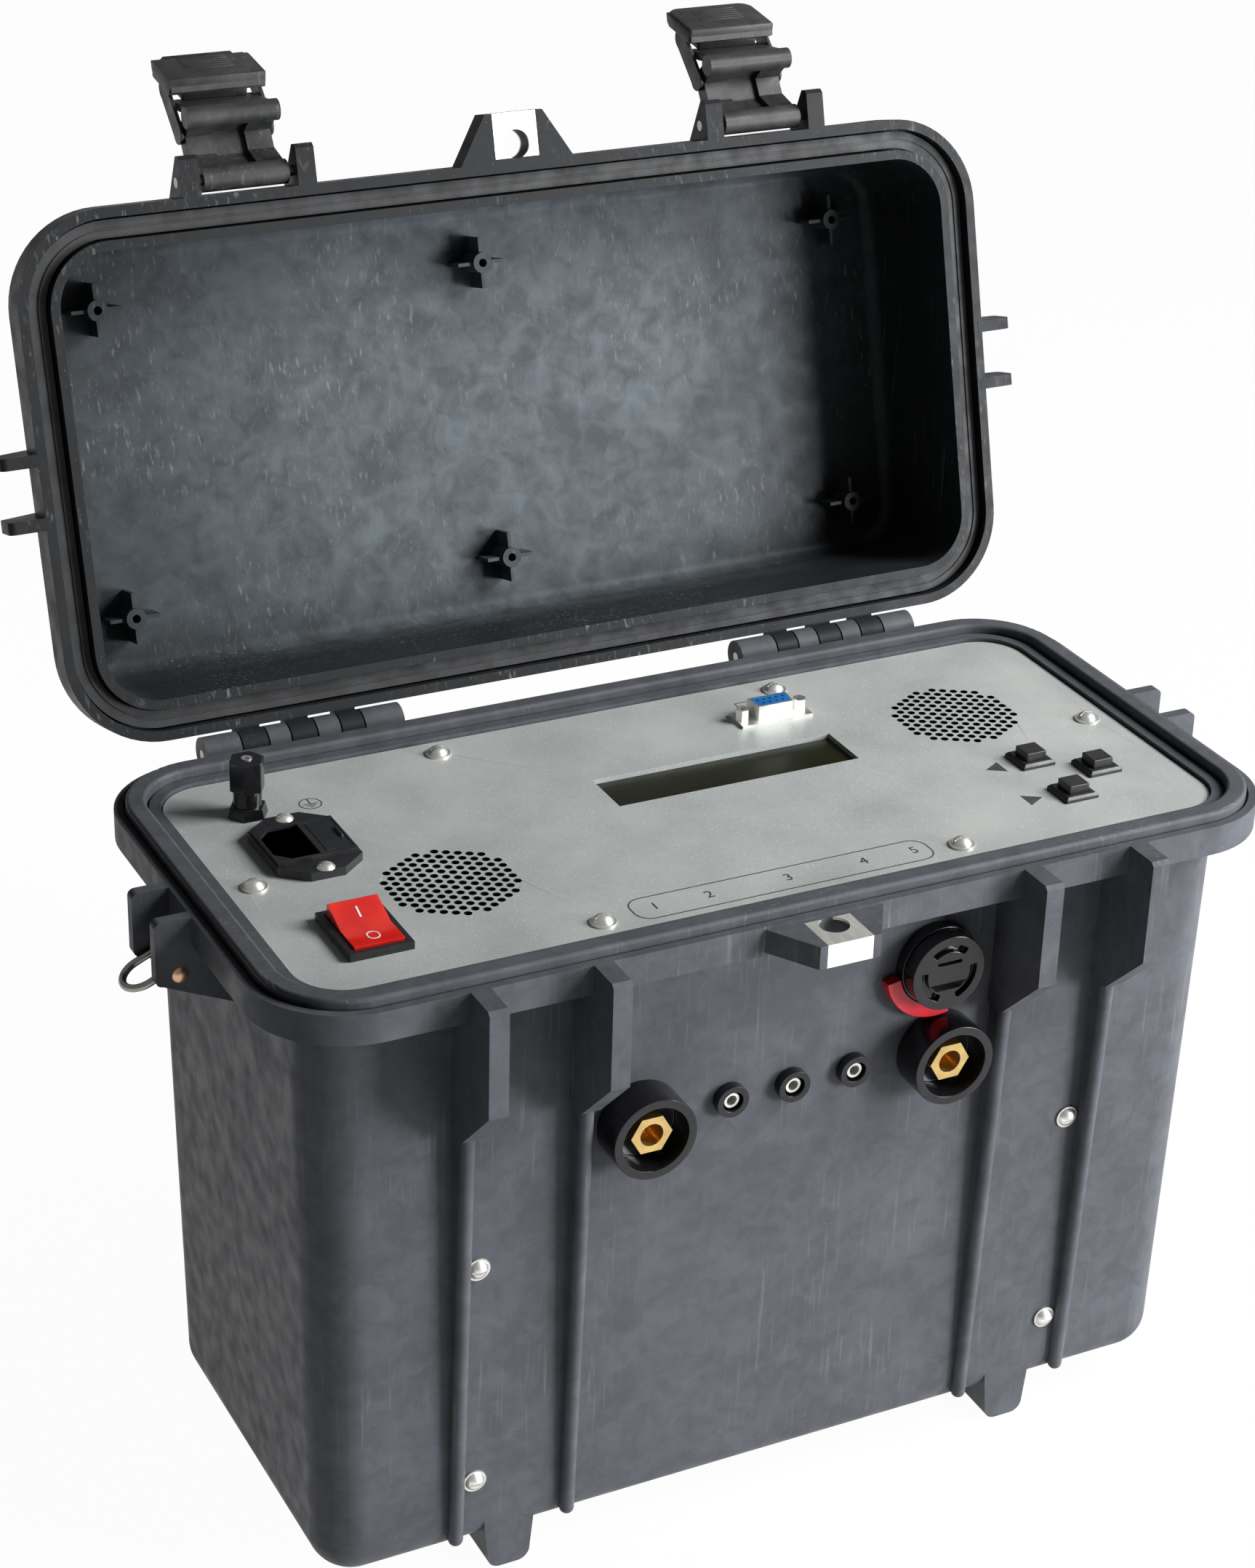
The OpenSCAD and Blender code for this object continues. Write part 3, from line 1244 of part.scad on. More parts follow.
// Carry handle, folded forward on the lid
module carry_handle() color("#232427") lid_frame() difference() {
    union() {
        inner = handle_w / 2 - handle_lug_w / 2 - handle_side_gap;
        for (s = [0, 1]) mirror([s, 0, 0]) along_x(inner - handle_arm_w, inner)
            link([[0, handle_pivot_d], [-handle_reach, handle_pivot_d]], 2 * grip_r);
        translate([0, -handle_reach, handle_pivot_d]) rotate([0, 90, 0])
            cylinder(r = grip_r, h = 2 * inner - handle_arm_w, center = true);
    }
    translate([0, 0, handle_pivot_d]) rotate([0, 90, 0])
        cylinder(d = pin_dia + 2 * pin_fit, h = 2 * handle_w, center = true);
}

tub();
hinge_pins();
hasp_clip_base();
ring_pins();
valve_body();
valve_ring();
panel();
panel_screws();
panel_washers();
inlet_body();
inlet_blades();
inlet_screws();
rocker_bezel();
ground_post_stud();
ground_post_base();
data_shell();
data_insert();
data_screws();
display_module();
display_window();
button_bases();
fan_frame_left();
fan_frame_right();
chassis();
control_board();
transformer();
transformer_clamp();
supply_board();
capacitors();
heat_sink();
terminal_cups();
terminal_nuts();
signal_sockets();
signal_sleeves();
front_screws();
front_washers();
busbars();
lid();
lid_seal();
hasp_clip_lid();
latch_pins();
handle_pins();
latch_claw_left();
latch_claw_right();
latch_lever_left();
latch_lever_right();
strap_ring_left();
strap_ring_right();
carry_handle();
rocker();
button_up();
button_down();
button_start();
ground_knob();
fuse_drawer();
valve_knob();
fan_rotor_left();
fan_rotor_right();
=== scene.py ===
# %% [markdown]
# A portable micro ohmmeter in a hard carrying case, dressed for a picture.
# The solids come from the CAD model as a fixed frame. Each cell here adds one finish or one piece.
# Lengths are in metres unless a name says mm, and every piece keeps its object at the origin.

# %% Load the frame
import json
import math

import bpy
from mathutils import Matrix, Vector

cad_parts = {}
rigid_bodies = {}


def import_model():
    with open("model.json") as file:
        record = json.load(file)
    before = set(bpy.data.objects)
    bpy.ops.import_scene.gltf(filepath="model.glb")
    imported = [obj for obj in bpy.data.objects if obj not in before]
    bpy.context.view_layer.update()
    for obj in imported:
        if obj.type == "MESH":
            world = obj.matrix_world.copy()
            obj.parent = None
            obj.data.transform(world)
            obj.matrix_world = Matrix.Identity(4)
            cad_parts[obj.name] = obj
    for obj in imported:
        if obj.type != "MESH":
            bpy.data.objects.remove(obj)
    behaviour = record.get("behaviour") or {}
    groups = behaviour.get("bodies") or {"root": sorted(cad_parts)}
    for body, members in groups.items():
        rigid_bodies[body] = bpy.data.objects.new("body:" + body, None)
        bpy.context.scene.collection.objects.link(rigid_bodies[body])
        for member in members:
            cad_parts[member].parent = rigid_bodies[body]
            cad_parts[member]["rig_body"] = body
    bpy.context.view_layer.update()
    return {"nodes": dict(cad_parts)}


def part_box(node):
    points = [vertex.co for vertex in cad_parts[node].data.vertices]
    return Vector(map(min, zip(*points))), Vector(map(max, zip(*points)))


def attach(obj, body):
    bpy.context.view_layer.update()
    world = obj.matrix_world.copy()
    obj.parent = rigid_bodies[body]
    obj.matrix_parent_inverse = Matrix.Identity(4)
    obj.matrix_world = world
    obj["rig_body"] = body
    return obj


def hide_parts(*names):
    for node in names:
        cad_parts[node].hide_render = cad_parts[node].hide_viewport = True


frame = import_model()
nodes = frame["nodes"]
MM = 0.001

# %% [markdown]
# The camera stands where the photographer stood: in front, to the left, and above the open lid.
# A long lens keeps the vertical edges nearly parallel. The place, the target and the small roll of the
# camera are known in the part's own frame, so its axes are built from them directly.

# %% Camera
IMAGE_W, IMAGE_H = 1726, 2156
EYE = Vector((-528.42, -1028.61, 826.37)) * MM
TARGET = Vector((9.54, -17.56, 240.52)) * MM
ROLL = 0.03761
FOCAL_PX = 4656.3
CENTRE_PX = (930.0, 1107.9)
SENSOR_MM = 36.0
CLIP_NEAR, CLIP_FAR = 0.05, 30


def photo_camera():
    """The photographer's camera, made the scene's camera."""
    ahead = (TARGET - EYE).normalized()
    level = ahead.cross(Vector((0, 0, 1))).normalized()
    above = level.cross(ahead)
    right = math.cos(ROLL) * level + math.sin(ROLL) * above
    up = math.cos(ROLL) * above - math.sin(ROLL) * level
    lens = bpy.data.cameras.new("photo_camera")
    lens.sensor_width = SENSOR_MM
    lens.lens = FOCAL_PX * SENSOR_MM / IMAGE_H
    lens.shift_x = (IMAGE_W / 2 - CENTRE_PX[0]) / IMAGE_H
    lens.shift_y = (CENTRE_PX[1] - IMAGE_H / 2) / IMAGE_H
    lens.clip_start, lens.clip_end = CLIP_NEAR, CLIP_FAR
    camera = bpy.data.objects.new("photo_camera", lens)
    axes = Matrix((right, up, -ahead)).transposed()
    camera.matrix_world = Matrix.Translation(EYE) @ axes.to_4x4()
    bpy.context.scene.collection.objects.link(camera)
    bpy.context.scene.camera = camera
    return camera


camera = photo_camera()
print("lens", round(camera.data.lens, 2), "mm")
bpy.context.scene.view_settings.view_transform = "Standard"

# %% [markdown]
# A finish here is a tree of nodes. Small helpers keep each tree short: one starts a material, one adds a node
# and links it, and the others give a pattern, colour it, mix it with another, or send it to the shader.
# All patterns read Object coordinates, so they stay on a piece when it moves.

# %% Helpers for the finishes
def start(name, **sockets):
    """A material with a Principled shader whose constant values go straight on its sockets."""
    material = bpy.data.materials.new(name)
    material.use_nodes = True
    tree = material.node_tree
    shader = tree.nodes["Principled BSDF"]
    for key, value in sockets.items():
        shader.inputs[key.replace("_", " ")].default_value = value
    return material


def node(material, kind, links=(), **settings):
    """A node of one kind in a material or world, with its properties set and its inputs linked or filled."""
    made = material.node_tree.nodes.new("ShaderNode" + kind)
    for key, value in settings.items():
        setattr(made, key, value)
    for key, value in dict(links).items():
        if isinstance(value, bpy.types.NodeSocket):
            material.node_tree.links.new(value, made.inputs[key])
        else:
            made.inputs[key].default_value = value
    return made


def place(material, stretch=(1, 1, 1), turn=(0, 0, 0)):
    """Object coordinates, stretched or turned for a pattern that has a direction."""
    where = node(material, "TexCoord").outputs["Object"]
    mapping = node(material, "Mapping", {"Vector": where, "Scale": stretch, "Rotation": turn})
    return mapping.outputs["Vector"]


def noise(material, size_mm, detail=3, stretch=(1, 1, 1), turn=(0, 0, 0), twist=0.0):
    """Cloudy noise whose patches are about size_mm across, twisted where twist is above zero."""
    inputs = {"Vector": place(material, stretch, turn), "Scale": 1 / (size_mm * MM), "Detail": detail,
              "Distortion": twist}
    return node(material, "TexNoise", inputs).outputs["Fac"]


def ramp(material, pattern, *stops):
    """Colours or greys along a pattern: each stop is a place from 0 to 1 and a colour."""
    made = node(material, "ValToRGB", {"Fac": pattern})
    bar = made.color_ramp
    for i, (at, colour) in enumerate(stops):
        stop = bar.elements[i] if i < 2 else bar.elements.new(at)
        stop.position = at
        grey = not hasattr(colour, "__len__")
        stop.color = (colour, colour, colour, 1) if grey else (*colour, 1)
    return made.outputs["Color"]


def mixed(material, factor, first, second, blend="MIX"):
    """Two colours or patterns, mixed by a factor."""
    made = node(material, "Mix", {}, data_type="RGBA", blend_type=blend)
    links = material.node_tree.links
    for socket, value in ((made.inputs[0], factor), (made.inputs[6], first), (made.inputs[7], second)):
        if isinstance(value, bpy.types.NodeSocket):
            links.new(value, socket)
        else:
            socket.default_value = (*value, 1) if hasattr(value, "__len__") else value
    return made.outputs[2]


def finish_with(material, colour=None, rough=None, relief=None, strength=0.3, depth_mm=0.1):
    """Links a colour pattern, a roughness pattern and a height pattern to the material's shader."""
    shader = material.node_tree.nodes["Principled BSDF"]
    links = material.node_tree.links
    if colour is not None:
        links.new(colour, shader.inputs["Base Color"])
    if rough is not None:
        links.new(rough, shader.inputs["Roughness"])
    if relief is not None:
        inputs = {"Height": relief, "Strength": strength, "Distance": depth_mm * MM}
        links.new(node(material, "Bump", inputs).outputs["Normal"], shader.inputs["Normal"])
    return material


def cells(material, size_mm):
    """Distance to scattered points about size_mm apart, for specks and grains."""
    inputs = {"Vector": place(material), "Scale": 1 / (size_mm * MM)}
    return node(material, "TexVoronoi", inputs).outputs["Distance"]

# %% [markdown]
# The stage is a wide pale floor under pale air. The camera and the glossy surfaces see the floor white, and
# the case still leaves a soft shadow on it. The air is white to the camera and light grey to gloss and glass,
# so metal has something to reflect. It lights the case only faintly: two square lamps do that.

# %% Stage and lamps
FLOOR_HALF = 6.0
FLOOR_GLOW = 0.97
AIR_AS_LIGHT = 0.0132
AIR_IN_GLOSS = 0.3


def studio_white():
    """Pale paper that glows white for the camera and for reflections, and takes a little shadow."""
    material = start("studio_white", Base_Color=(0.86, 0.86, 0.86, 1), Roughness=0.9)
    shader = material.node_tree.nodes["Principled BSDF"]
    out = material.node_tree.nodes["Material Output"]
    grain = ramp(material, noise(material, 40), (0.3, 0.84), (0.7, 0.88))
    material.node_tree.links.new(grain, shader.inputs["Base Color"])
    glow = node(material, "Emission", {"Strength": 1.0})
    ray = node(material, "LightPath")
    seen = node(material, "Math", {0: ray.outputs["Is Camera Ray"], 1: ray.outputs["Is Glossy Ray"]},
                operation="MAXIMUM")
    share = node(material, "Math", {0: seen.outputs[0], 1: FLOOR_GLOW}, operation="MULTIPLY")
    blend = node(material, "MixShader", {0: share.outputs[0], 1: shader.outputs[0], 2: glow.outputs[0]})
    material.node_tree.links.new(blend.outputs[0], out.inputs["Surface"])
    return material


def studio_air():
    """A world that is white to the camera, light grey to gloss and glass, and faint as a light."""
    world = bpy.data.worlds.new("studio_air")
    world.use_nodes = True
    air = world.node_tree.nodes["Background"]
    air.inputs["Color"].default_value = (1, 1, 1, 1)
    ray = node(world, "LightPath")
    seen = ray.outputs["Is Camera Ray"]
    for other in ("Is Glossy Ray", "Is Transmission Ray"):
        share = node(world, "Math", {0: ray.outputs[other], 1: AIR_IN_GLOSS}, operation="MULTIPLY")
        seen = node(world, "Math", {0: seen, 1: share.outputs[0]}, operation="MAXIMUM").outputs[0]
    level = node(world, "MapRange", {"Value": seen, "To Min": AIR_AS_LIGHT, "To Max": 1.0})
    world.node_tree.links.new(level.outputs[0], air.inputs["Strength"])
    return world


def softbox(name, stand, aim, size, watts, tint=(1, 1, 1)):
    """A square lamp that stands at one point and shines towards another."""
    data = bpy.data.lights.new(name, "AREA")
    data.size, data.energy, data.color = size, watts, tint
    lamp = bpy.data.objects.new(name, data)
    lamp.location = stand
    lamp.rotation_euler = (Vector(aim) - Vector(stand)).to_track_quat("-Z", "Y").to_euler()
    bpy.context.scene.collection.objects.link(lamp)
    return lamp


bpy.ops.mesh.primitive_plane_add(size=2 * FLOOR_HALF, location=(0, 0, 0))
floor = bpy.context.active_object
floor.name = "studio_floor"
floor.data.materials.append(studio_white())
bpy.context.scene.world = studio_air()

softbox("lamp_above", (1.15, -0.6, 1.2), (0, 0, 0.25), 0.7, 40)
softbox("lamp_right", (1.5, -1.6, 0.42), (0, 0, 0.22), 0.7, 56, (0.94, 0.965, 1))

# %% [markdown]
# The case is moulded polypropylene with a spark eroded skin: nearly black, softly mottled, with pale specks
# of dust, slanting rubs, and a grain that breaks up highlights. One function makes all the dark plastics.
# The lid has painted shade: its walls and rim are darker than its roof. That shade is measured on the open
# lid: by the height above its rim, and by the distance from the middle of its roof.

# %% Moulded plastics
SCUFF_TURNS = ((0.3, 0.9, 0.2), (0.2, -0.7, 0.1))
SCUFF_LENGTH_MM, SCUFF_WIDTH_MM, SCUFF_FIELD_MM = 40, 1.6, 60
DUST_MM = 3.4
GLOSS_PATCH_MM = 9
HINGE = (Vector(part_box("hinge_pins")[0]) + Vector(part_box("hinge_pins")[1])) / 2
LID_OPEN = math.radians(105.2)
LID_UP = Vector((0, math.sin(LID_OPEN), math.cos(LID_OPEN)))
LID_FORWARD = Vector((0, -math.cos(LID_OPEN), math.sin(LID_OPEN)))
ROOF_HEIGHT_MM, ROOF_REACH_MM = 57, 106
ROOF_MIDDLE = HINGE + LID_UP * ROOF_HEIGHT_MM * MM + LID_FORWARD * ROOF_REACH_MM * MM
# Where the lid's painted shade fades out: above its rim, and towards the middle of its roof.
UNSHADED_FROM_MM, UNSHADED_FULLY_MM = 32, 54
UNSHADED_RADIUS_MM, SHADED_EDGE_MM, UNSHADED_AT_ENDS = 70, 190, 0.2


def scuffs(material):
    """Thin pale rubs that run along two slanting directions, and fade in and out."""
    stretch = (1, 1, SCUFF_WIDTH_MM / SCUFF_LENGTH_MM)
    rubs = []
    for turn in SCUFF_TURNS:
        streaks = noise(material, SCUFF_WIDTH_MM, 5, stretch, turn)
        rubs.append(ramp(material, streaks, (0.60, 0), (0.74, 1)))
    both = mixed(material, 0.5, rubs[0], rubs[1], "LIGHTEN")
    worn = ramp(material, noise(material, SCUFF_FIELD_MM, 3), (0.42, 0), (0.66, 1))
    return mixed(material, 1.0, both, worn, "MULTIPLY")


def roof_unshaded_share(material):
    """Share free of painted shade: near 1 mid roof, less towards its ends, 0 low on the lid's walls and rim.
    """
    where = node(material, "TexCoord").outputs["Object"]
    height = node(material, "VectorMath", {0: where, 1: LID_UP}, operation="DOT_PRODUCT").outputs["Value"]
    rim_height = LID_UP.dot(HINGE)
    on_roof = node(material, "MapRange", {"Value": height, "From Min": rim_height + UNSHADED_FROM_MM * MM,
                                          "From Max": rim_height + UNSHADED_FULLY_MM * MM})
    reach = node(material, "VectorMath", {0: where, 1: ROOF_MIDDLE}, operation="DISTANCE").outputs["Value"]
    inward = node(material, "MapRange", {"Value": reach, "From Min": SHADED_EDGE_MM * MM,
                                         "From Max": UNSHADED_RADIUS_MM * MM, "To Min": UNSHADED_AT_ENDS})
    both = node(material, "Math", {0: on_roof.outputs[0], 1: inward.outputs[0]}, operation="MULTIPLY")
    return both.outputs[0]


def moulded(name, dark, pale, cloud_mm, rough, grain_mm=0.9, speck=0.09, rub=0.10, shine=0.5, painted_shade_colour=None):
    """A mottled plastic with specks and rubs. A painted shade colour can cover the lid's walls and rim."""
    material = start(name, Specular_IOR_Level=shine)
    clouds = noise(material, cloud_mm, 6, twist=1.2)
    mottle = noise(material, cloud_mm / 4, 5, twist=0.8)
    tone = ramp(material, mixed(material, 0.5, clouds, mottle), (0.40, dark), (0.63, pale))
    if painted_shade_colour is not None:
        # painted shade: the lid's walls and rim take the dark colour, and its roof keeps the mottled tone
        tone = mixed(material, roof_unshaded_share(material), painted_shade_colour, tone)
    rubbed = mixed(material, scuffs(material), tone, [rub] * 3)
    dust = ramp(material, cells(material, DUST_MM), (0.035, (1, 1, 1)), (0.055, (0, 0, 0)))
    dusted = mixed(material, dust, rubbed, [speck] * 3)
    gloss = ramp(material, noise(material, GLOSS_PATCH_MM, 4), (0.35, rough[0]), (0.7, rough[1]))
    return finish_with(material, dusted, gloss, noise(material, grain_mm, 3), 0.35, 0.12)


CASE_PLASTIC = moulded("case_plastic", (0.070, 0.073, 0.081), (0.092, 0.097, 0.109), 30, (0.40, 0.56),
                       speck=0.20, rub=0.15, shine=0.12)
# The lid's walls and rim get a darker colour as painted shade.
LID_PLASTIC = moulded("lid_plastic", (0.050, 0.058, 0.064), (0.098, 0.114, 0.126), 38, (0.38, 0.54),
                      speck=0.18, rub=0.17, shine=0.12, painted_shade_colour=(0.017, 0.0185, 0.020))
LATCH_PLASTIC = moulded("latch_plastic", (0.024, 0.025, 0.024), (0.046, 0.047, 0.044), 24, (0.4, 0.55),
                        speck=0.14, rub=0.11, shine=0.3)
GLOSS_PLASTIC = moulded("gloss_plastic", (0.006, 0.006, 0.007), (0.011, 0.011, 0.013), 15, (0.14, 0.24),
                        grain_mm=1.6, speck=0.02, rub=0.015)
SATIN_PLASTIC = moulded("satin_plastic", (0.010, 0.010, 0.011), (0.018, 0.018, 0.021), 12, (0.34, 0.48),
                        grain_mm=0.5, speck=0.04, rub=0.03)
RUBBER = moulded("seal_rubber", (0.008, 0.008, 0.008), (0.014, 0.014, 0.015), 14, (0.55, 0.75),
                 grain_mm=0.7, speck=0.05, rub=0.02)

# %% [markdown]
# Bare metal is told apart by its colour, its gloss and the size of its grain. One function covers the screws,
# washers, pins, clips and brass. The panel has its own: a zinc skin that is cloudy, partly dull, and full of
# fine bright spangles, with a few larger painted glints of near white in its colour.

# %% Metals
METAL_PATCH_MM = 6
CLOUD_MM, SPANGLE_MM, PAINTED_GLINT_MM = 30, 0.9, 1.7
SPANGLE_FADE = 0.82


def metal(name, colour, rough, grain_mm=1.2, spread=0.12, wear=0.25, stretch=(1, 1, 1)):
    """A metal with duller patches, and a gloss that changes from grain to grain."""
    material = start(name, Metallic=0.88)
    patch = noise(material, METAL_PATCH_MM, 4, stretch)
    dull = tuple(c * (1 - wear) for c in colour)
    tone = ramp(material, patch, (0.3, dull), (0.65, colour))
    gloss = ramp(material, noise(material, grain_mm, 3, stretch), (0.3, rough), (0.75, rough + spread))
    return finish_with(material, tone, gloss, noise(material, grain_mm, 2, stretch), 0.12, 0.05)


def sheet_metal():
    """Zinc coated panel sheet: cloudy and grainy, part metal and part dull skin, with fine spangles."""
    material = start("panel_sheet", Metallic=0.3)
    clouds = noise(material, CLOUD_MM, 5)
    tone = ramp(material, clouds, (0.3, (0.45, 0.48, 0.47)), (0.7, (0.57, 0.59, 0.57)))
    spangle = ramp(material, cells(material, SPANGLE_MM), (0.1, (1, 1, 1)), (0.4, (0, 0, 0)))
    faint = mixed(material, SPANGLE_FADE, spangle, (0, 0, 0))
    spangled = mixed(material, faint, tone, (0.82, 0.82, 0.78))
    # painted glints: sparse near white dots in the colour, standing for sparkle off the zinc
    painted_glint = ramp(material, cells(material, PAINTED_GLINT_MM), (0.09, (1, 1, 1)), (0.13, (0, 0, 0)))
    with_painted_glints = mixed(material, painted_glint, spangled, (0.96, 0.97, 0.95))
    gloss = ramp(material, noise(material, 0.8, 3), (0.3, 0.34), (0.7, 0.52))
    return finish_with(material, with_painted_glints, gloss, noise(material, 0.6, 3), 0.3, 0.05)


NICKEL = metal("nickel_plate", (0.88, 0.87, 0.82), 0.30)
ZINC = metal("zinc_plate", (0.82, 0.81, 0.75), 0.36)
STEEL = metal("bright_steel", (0.86, 0.85, 0.79), 0.42, grain_mm=0.8, spread=0.1, wear=0.1,
              stretch=(1, 0.1, 1))
DARK_STEEL = metal("ring_steel", (0.34, 0.32, 0.30), 0.2)
BRASS = metal("turned_brass", (0.80, 0.56, 0.22), 0.16)
COPPER = metal("copper", (0.78, 0.47, 0.30), 0.3)
ALUMINIUM = metal("bare_aluminium", (0.60, 0.61, 0.62), 0.34)
PANEL_SHEET = sheet_metal()

# %% [markdown]
# The rest are single purpose finishes: the red rocker glows where light enters its thin shell, the blue
# insert of the connector is dull, the display window is a dark olive film, and the boards are green.

# %% Other finishes
def plain_finish(name, dark, pale, rough, patch_mm=8, **sockets):
    """Two close colours in patches, an uneven gloss and a fine relief."""
    material = start(name, **sockets)
    tone = ramp(material, noise(material, patch_mm, 4), (0.35, dark), (0.7, pale))
    gloss = ramp(material, noise(material, 1.5, 3), (0.3, rough), (0.75, rough + 0.1))
    return finish_with(material, tone, gloss, noise(material, 0.8, 2), 0.08, 0.05)


RED_SHELL = plain_finish("red_shell", (0.62, 0.010, 0.006), (0.80, 0.030, 0.012), 0.14, 14,
                         Subsurface_Weight=0.25, Subsurface_Scale=0.004, Coat_Weight=0.5, Coat_Roughness=0.08)
VALVE_RED = plain_finish("valve_red", (0.50, 0.008, 0.02), (0.62, 0.015, 0.03), 0.35)
BLUE_INSERT = plain_finish("blue_insert", (0.01, 0.12, 0.36), (0.02, 0.19, 0.48), 0.35)
WINDOW_FILM = plain_finish("window_film", (0.011, 0.011, 0.005), (0.018, 0.018, 0.008), 0.3, 30,
                           Specular_IOR_Level=0.2)
GREEN_BOARD = plain_finish("green_board", (0.008, 0.07, 0.025), (0.012, 0.11, 0.04), 0.3, 5)
WHITE_MARK = plain_finish("white_mark", (0.72, 0.72, 0.70), (0.86, 0.86, 0.84), 0.45)
PANEL_INK = plain_finish("panel_ink", (0.035, 0.034, 0.036), (0.06, 0.058, 0.06), 0.55)
YELLOW_TAPE = plain_finish("yellow_tape", (0.50, 0.30, 0.02), (0.62, 0.40, 0.04), 0.4)
FAN_BLACK = plain_finish("fan_black", (0.003, 0.003, 0.003), (0.006, 0.006, 0.006), 0.8,
                         Specular_IOR_Level=0.1)
SLEEVE_BLUE = plain_finish("sleeve_blue", (0.01, 0.03, 0.12), (0.015, 0.05, 0.18), 0.3)

# %% [markdown]
# Every solid of the CAD model gets one of these finishes. A node that a new piece will replace later is
# in this table as well, so nothing can be left plain.

# %% Finish of each solid
FINISH_OF = {
    "tub": CASE_PLASTIC, "lid": LID_PLASTIC, "lid_seal": RUBBER,
    "hinge_pins": DARK_STEEL, "latch_pins": DARK_STEEL, "handle_pins": DARK_STEEL,
    "hasp_clip_base": STEEL, "hasp_clip_lid": STEEL, "ring_pins": COPPER,
    "valve_body": GLOSS_PLASTIC, "valve_ring": VALVE_RED, "valve_knob": GLOSS_PLASTIC,
    "panel": PANEL_SHEET, "panel_screws": NICKEL, "panel_washers": ZINC,
    "inlet_body": SATIN_PLASTIC, "inlet_blades": NICKEL, "inlet_screws": NICKEL, "fuse_drawer": SATIN_PLASTIC,
    "rocker_bezel": SATIN_PLASTIC, "rocker": RED_SHELL,
    "ground_post_stud": NICKEL, "ground_post_base": GLOSS_PLASTIC, "ground_knob": GLOSS_PLASTIC,
    "data_shell": NICKEL, "data_insert": BLUE_INSERT, "data_screws": NICKEL,
    "display_module": GREEN_BOARD, "display_window": WINDOW_FILM,
    "button_bases": SATIN_PLASTIC, "button_up": SATIN_PLASTIC, "button_down": SATIN_PLASTIC,
    "button_start": SATIN_PLASTIC,
    "fan_frame_left": FAN_BLACK, "fan_frame_right": FAN_BLACK,
    "fan_rotor_left": FAN_BLACK, "fan_rotor_right": FAN_BLACK,
    "chassis": ALUMINIUM, "control_board": GREEN_BOARD, "supply_board": GREEN_BOARD,
    "transformer": YELLOW_TAPE, "transformer_clamp": ZINC, "capacitors": SLEEVE_BLUE, "heat_sink": ALUMINIUM,
    "terminal_cups": GLOSS_PLASTIC, "terminal_nuts": BRASS, "signal_sockets": GLOSS_PLASTIC,
    "signal_sleeves": NICKEL, "front_screws": NICKEL, "front_washers": ZINC, "busbars": COPPER,
    "latch_claw_left": LATCH_PLASTIC, "latch_claw_right": LATCH_PLASTIC,
    "latch_lever_left": LATCH_PLASTIC, "latch_lever_right": LATCH_PLASTIC,
    "strap_ring_left": DARK_STEEL, "strap_ring_right": DARK_STEEL, "carry_handle": LATCH_PLASTIC,
}
for name, solid in nodes.items():
    solid.data.materials.clear()
    solid.data.materials.append(FINISH_OF[name])
print(len(FINISH_OF), "solids have a finish")

# %% [markdown]
# Moulded parts have no sharp edges: the mould is polished and the plastic shrinks, so every corner is
# eased by a few tenths of a millimetre and catches a thin line of light. The CAD solids are left with
# sharp edges, so a copy of each one is merged, cleaned of its flat triangles and given a bevel.

# %% Copies with eased edges
MERGE_DISTANCE = 0.00001
FLAT_ANGLE, SHARP_ANGLE, SMOOTH_ANGLE = math.radians(0.3), math.radians(28), math.radians(32)
EASE_STEPS = 2
FLAT_WEIGHT = 80


def alone(piece):
    """Selects one object and makes it the active one."""
    bpy.ops.object.select_all(action="DESELECT")
    piece.select_set(True)
    bpy.context.view_layer.objects.active = piece


def apply_all(piece):
    """Turns the result of an object's modifiers into its mesh."""
    alone(piece)
    for modifier in list(piece.modifiers):
        bpy.ops.object.modifier_apply(modifier=modifier.name)


def merged_copy(source, name):
    """A copy of a CAD node with its corners merged, left in edit mode with all of it selected."""
    piece = bpy.data.objects.new(name, nodes[source].data.copy())
    bpy.context.scene.collection.objects.link(piece)
    alone(piece)
    bpy.ops.object.mode_set(mode="EDIT")
    bpy.ops.mesh.select_all(action="SELECT")
    bpy.ops.mesh.remove_doubles(threshold=MERGE_DISTANCE)
    return piece


def eased(source, ease_mm):
    """A copy of a CAD node with eased edges, which then stands for the node."""
    piece = merged_copy(source, source + "_moulded")
    bpy.ops.mesh.dissolve_limited(angle_limit=FLAT_ANGLE)
    bpy.ops.object.mode_set(mode="OBJECT")
    ease = piece.modifiers.new("ease", "BEVEL")
    ease.width, ease.segments = ease_mm * MM, EASE_STEPS
    ease.limit_method, ease.angle_limit = "ANGLE", SHARP_ANGLE
    ease.use_clamp_overlap = True
    ease.miter_outer = "MITER_ARC"
    apply_all(piece)
    bpy.ops.object.shade_smooth_by_angle(angle=SMOOTH_ANGLE)
    flat = piece.modifiers.new("flat_faces_lead", "WEIGHTED_NORMAL")
    flat.keep_sharp, flat.weight = True, FLAT_WEIGHT
    apply_all(piece)
    piece.data.materials.clear()
    piece.data.materials.append(FINISH_OF[source])
    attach(piece, nodes[source]["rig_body"])
    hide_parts(source)
    print(piece.name, len(piece.data.polygons), "faces")

# %% [markdown]
# The tub and the lid are the largest mouldings, so they get the widest easing. Smaller mouldings get less.
# Sheet metal, screws and pins keep the crisp edges of the CAD solids, as the real parts have them.

